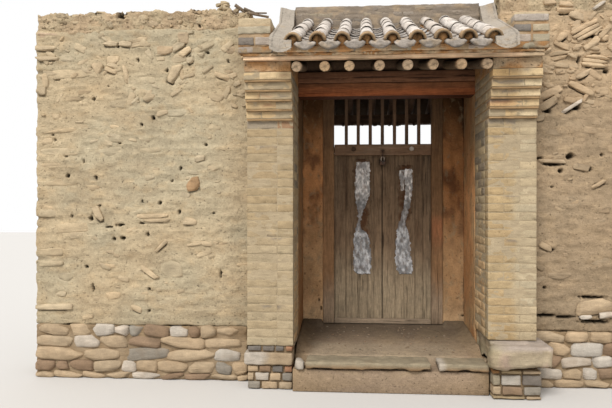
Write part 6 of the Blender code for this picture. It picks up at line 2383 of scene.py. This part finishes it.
# Torn paper strips and the paste round them: height, left edge and right edge in pixels of the photograph
LEFT_PAPER = ((162, 357, 369), (167, 356, 370), (180, 355.5, 370), (190, 355, 370), (198, 355.5, 368.5),
              (206, 356.5, 366), (211, 357, 363), (219, 358.5, 361), (225, 357, 360.5), (229, 356, 361),
              (233, 354.5, 367), (240, 354, 369.5), (255, 353.5, 371), (268, 353.5, 371), (274, 356, 370))
RIGHT_PAPER = ((169, 405, 412), (176, 403.5, 412.5), (186, 405, 412), (198, 405.5, 411.5),
               (208, 403.5, 409.5), (217, 401, 406.5), (223, 399, 405), (228, 397.5, 406), (233, 396.5, 409),
               (241, 396, 410), (256, 395.5, 411), (269, 396, 413), (274, 399, 412))

RIGHT_PAPER_PRONG = ((170, 400, 404), (174, 399, 404.5), (182, 400, 404), (191, 401, 403))

LEFT_PASTE = ((159, 356, 369), (164, 353, 372), (178, 353, 371), (196, 354, 371), (210, 355, 371),
              (222, 356, 369), (232, 354, 371), (240, 353, 371), (248, 353.5, 371))

RIGHT_PASTE = ((165, 399, 412), (169, 396, 414), (185, 397, 414), (200, 398, 413), (212, 398, 411),
               (224, 396, 409), (236, 395, 411), (244, 396, 411))


def paper_strip(pile, rows, front, seed, pasted=False):
    """A torn strip stuck on the boards, a little wrinkled, or the brown paste left round it."""
    across_count, up_count = 22, max(8, int((rows[-1][0] - rows[0][0]) / 0.8))
    places, quads = shell(across_count, 1, up_count)
    share = places / (across_count, 1, up_count)
    ups, lefts, rights = zip(*rows)
    up = rows[-1][0] + (rows[0][0] - rows[-1][0]) * share[:, 2]
    along = np.stack([up * 0.01, up * 0.01, up * 0.01], axis=1)
    left = np.interp(up, ups, lefts) + 1.6 * rough(along, 0.030, seed, 4)
    right = np.maximum(np.interp(up, ups, rights) + 1.6 * rough(along, 0.030, seed + 7, 4), left + 0.8)
    across = left + (right - left) * share[:, 0]
    up = up + 0.9 * rough(np.stack([across * 0.01] * 3, axis=1), 0.02, seed + 2, 3)
    x, z, _ = photo_place(across, up, front)
    points = np.stack([x, np.full(len(x), front), z], axis=1)
    rest, wrinkle = (0.0006, 0.0004) if pasted else (0.0022, 0.0012)
    lift = rest + wrinkle * rough(points, (0.02, 1, 0.05), seed, 3)
    points[:, 1] = front - np.maximum(lift, 0.0004) - 0.0009 * (1 - share[:, 1])
    patch = rough(points, (0.03, 1, 0.05), seed + 3, 4)
    if pasted:
        edge = np.minimum(share[:, 0], 1 - share[:, 0]) * 2
        tone = blend(colour("door") * 0.95, colour("stain") * (0.27, 0.22, 0.20),
                     smooth(edge + 0.7 * patch, 0.0, 0.6))
    else:
        torn = smooth(patch, 0.15, 0.5) * 0.6 + smooth(np.abs(up - 217) + 8 * patch, 13, 4) * 0.45
        fold = rough(points, (0.022, 1, 0.035), seed + 4, 3)
        crease = 1 - smooth(np.abs(noise(points, (0.016, 1, 0.028), seed + 5)), 0.0, 0.14)
        tone = blend(colour("paper") * 0.38, colour("paper") * 1.02, smooth(fold, -0.25, 0.35))
        tone = blend(tone, colour("paper") * 0.40, 0.55 * crease)
        tone = blend(tone, colour("paper") * (0.34, 0.27, 0.22), torn)
        tone = tone * (0.93 + (0.68, 0.62, 0.55) * smooth(up, 204, 194)[:, None])
    pile.add(points, quads, tone)


class GATEWAY_OT_papers(bpy.types.Operator):
    """Paste the torn blank paper strips on the leaves"""

    bl_idname = "gateway.papers"
    bl_label = "Paper strips"

    def execute(self, context):
        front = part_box("left_door_leaf")[0][1]
        for name, seed, paste, strips in (("left", 191, LEFT_PASTE, (LEFT_PAPER,)),
                                          ("right", 192, RIGHT_PASTE, (RIGHT_PAPER, RIGHT_PAPER_PRONG))):
            pile = Pile(seed)
            paper_strip(pile, paste, front, seed + 4, True)
            for rows in strips:
                paper_strip(pile, rows, front, seed)
            pile.make(name + "_paper", finish("paper"), body=name + "_door")
        return {"FINISHED"}


# The padlock: radii of its hasp's wire and bend, and the height of its body
HASP_WIRE = 0.0045
HASP_RADIUS = 0.016
LOCK_BODY = 0.05


def half_ring(centre, radius, start):
    """Places round half a circle that stands upright along X."""
    x, y, z = centre
    angles = start + np.linspace(0, HALF_TURN, 10)
    return [(x + radius * math.cos(angle), y, z + radius * math.sin(angle)) for angle in angles]


class GATEWAY_OT_lock(bpy.types.Operator):
    """Forge the staple and the link, and hang the padlock"""

    bl_idname = "gateway.lock"
    bl_label = "Lock"

    def execute(self, context):
        low, high = corners("lock_staple")
        wire = (high[2] - low[2]) / 2
        level = (low[2] + high[2]) / 2
        half = high[0] - wire
        front = low[1] + wire
        path = [(-half, high[1], level), (-half, high[1], level), (-half, front + 0.006, level),
                (-half + 0.004, front, level), (half - 0.004, front, level), (half, front + 0.006, level),
                (half, high[1], level), (half, high[1], level)]
        pile = Pile(201)
        points, faces = swept(path, (0, *[wire] * 6, 0), 12)
        pile.add(points, faces, colour("iron") * 0.6)
        pile.make("staple_iron", finish("iron"), ["lock_staple"])
        self.link()
        self.padlock()
        return {"FINISHED"}

    def link(self):
        low, high = corners("lock_link")
        wire = (high[0] - low[0]) / 2
        reach = (high[1] - low[1]) / 2 - wire
        ring = half_ring((0, 0, high[2] - wire - reach), reach, 0.0)
        ring += half_ring((0, 0, low[2] + wire + reach), reach, HALF_TURN)
        pile = Pile(202)
        middle = (low[1] + high[1]) / 2
        points, faces = swept([(0.0, middle + across, up) for across, _, up in ring], wire, 10, True)
        pile.add(points, faces, colour("iron") * 0.5)
        pile.make("link_iron", finish("iron"), ["lock_link"])

    def padlock(self):
        low, high = corners("padlock")
        wire = HASP_WIRE
        body_top = low[2] + LOCK_BODY
        middle = (low[1] + high[1]) / 2
        pile = Pile(203)
        points, facing, quads = block(low, (*high[:2], body_top), 0.005, 0.005)
        waist = 1 - 0.10 * np.cos((points[:, 2] - low[2]) / LOCK_BODY * 2 * HALF_TURN) ** 2
        points[:, 1] = middle + (points[:, 1] - middle) * waist
        pile.add(points, quads, colour("iron") * 0.35)
        sunk = body_top - 0.006
        hasp = [(HASP_RADIUS, middle, sunk)]
        hasp += half_ring((0, middle, high[2] - wire - HASP_RADIUS), HASP_RADIUS, 0.0)
        hasp += [(-HASP_RADIUS, middle, sunk)]
        points, faces = swept(hasp, wire, 12)
        # Painted highlight: the hasp is made whitish, as it shines in the light
        pile.add(points, faces, colour("white_stone") * 1.7)
        points, quads = stone((0, low[1] + 0.001, low[2] + 0.02), (0.012, 0.004, 0.014), pile.chance)
        points[:, 1] = np.maximum(points[:, 1], low[1])
        pile.add(points, quads, colour("iron") * 0.5)
        pile.make("padlock_iron", finish("iron"), ["padlock"])


def pale_floor_finish():
    made = bpy.data.materials.new("pale_floor")
    made.use_nodes = True
    shader = made.node_tree.nodes["Principled BSDF"]
    shader.inputs["Base Color"].default_value = (*bpy.context.scene.gateway_stage.floor, 1.0)
    shader.inputs["Roughness"].default_value = 0.9
    shader.inputs["Specular IOR Level"].default_value = 0.1
    return made


class GATEWAY_OT_stage(bpy.types.Operator):
    """Set the pale floor, the soft light and the camera"""

    bl_idname = "gateway.stage"
    bl_label = "Stage"

    def execute(self, context):
        scene = context.scene
        sizes = scene.gateway_stage
        mesh = bpy.data.meshes.new("pale_floor")
        half, level = 30.0, -0.002
        places = [(-half, -half, level), (half, -half, level), (half, half, level), (-half, half, level)]
        mesh.from_pydata(places, [], [(0, 1, 2, 3)])
        mesh.materials.append(pale_floor_finish())
        floor = bpy.data.objects.new("pale_floor", mesh)
        scene.collection.objects.link(floor)
        world = bpy.data.worlds.new("soft_sky")
        world.use_nodes = True
        world.node_tree.nodes["Background"].inputs["Color"].default_value = (1.0, 1.0, 1.0, 1.0)
        world.node_tree.nodes["Background"].inputs["Strength"].default_value = sizes.sky_strength
        scene.world = world
        key = bpy.data.lights.new("soft_key", "SUN")
        key.energy = sizes.sun_strength
        key.angle = sizes.sun_softness
        key.color = (1.0, 0.975, 0.94)
        lamp = bpy.data.objects.new("soft_key", key)
        lamp.rotation_euler = (math.radians(43), 0.0, math.radians(-20))
        scene.collection.objects.link(lamp)
        lens = bpy.data.cameras.new("camera")
        lens.sensor_width = 36.0
        lens.lens = lens.sensor_width * LENS_PIXELS / PHOTO_WIDTH
        camera = bpy.data.objects.new("camera", lens)
        camera.location = CAMERA_PLACE
        camera.rotation_euler = (math.radians(90), 0.0, CAMERA_TURN)
        scene.collection.objects.link(camera)
        scene.camera = camera
        scene.view_settings.view_transform = "Standard"
        return {"FINISHED"}


OPERATORS = (
    GATEWAY_OT_walls, GATEWAY_OT_wall_caps, GATEWAY_OT_wall_footings, GATEWAY_OT_piers, GATEWAY_OT_pier_feet,
    GATEWAY_OT_floor, GATEWAY_OT_passage, GATEWAY_OT_lintels, GATEWAY_OT_rafters, GATEWAY_OT_eave,
    GATEWAY_OT_end_blocks, GATEWAY_OT_roof_beds, GATEWAY_OT_tiles, GATEWAY_OT_ridge, GATEWAY_OT_verges,
    GATEWAY_OT_door_frame, GATEWAY_OT_door_leaves, GATEWAY_OT_papers, GATEWAY_OT_lock, GATEWAY_OT_stage,
)


class GATEWAY_PT_panel(bpy.types.Panel):
    """Lists the pieces of the gateway in the order they are made"""

    bl_idname = "GATEWAY_PT_panel"
    bl_label = "Courtyard gateway"
    bl_space_type = "VIEW_3D"
    bl_region_type = "UI"
    bl_category = "Gateway"

    def draw(self, context):
        for operator in OPERATORS:
            self.layout.operator(operator.bl_idname)


CLASSES = (*PROPERTY_GROUPS.values(), *OPERATORS, GATEWAY_PT_panel)


def register():
    for listed in CLASSES:
        bpy.utils.register_class(listed)
    for name, group in PROPERTY_GROUPS.items():
        setattr(bpy.types.Scene, name, PointerProperty(type=group))


def unregister():
    for name in PROPERTY_GROUPS:
        delattr(bpy.types.Scene, name)
    for listed in reversed(CLASSES):
        bpy.utils.unregister_class(listed)


def main():
    register()
    for operator in OPERATORS:
        name = operator.bl_idname.split(".")[1]
        getattr(bpy.ops.gateway, name)()


if __name__ == "__main__":
    main()
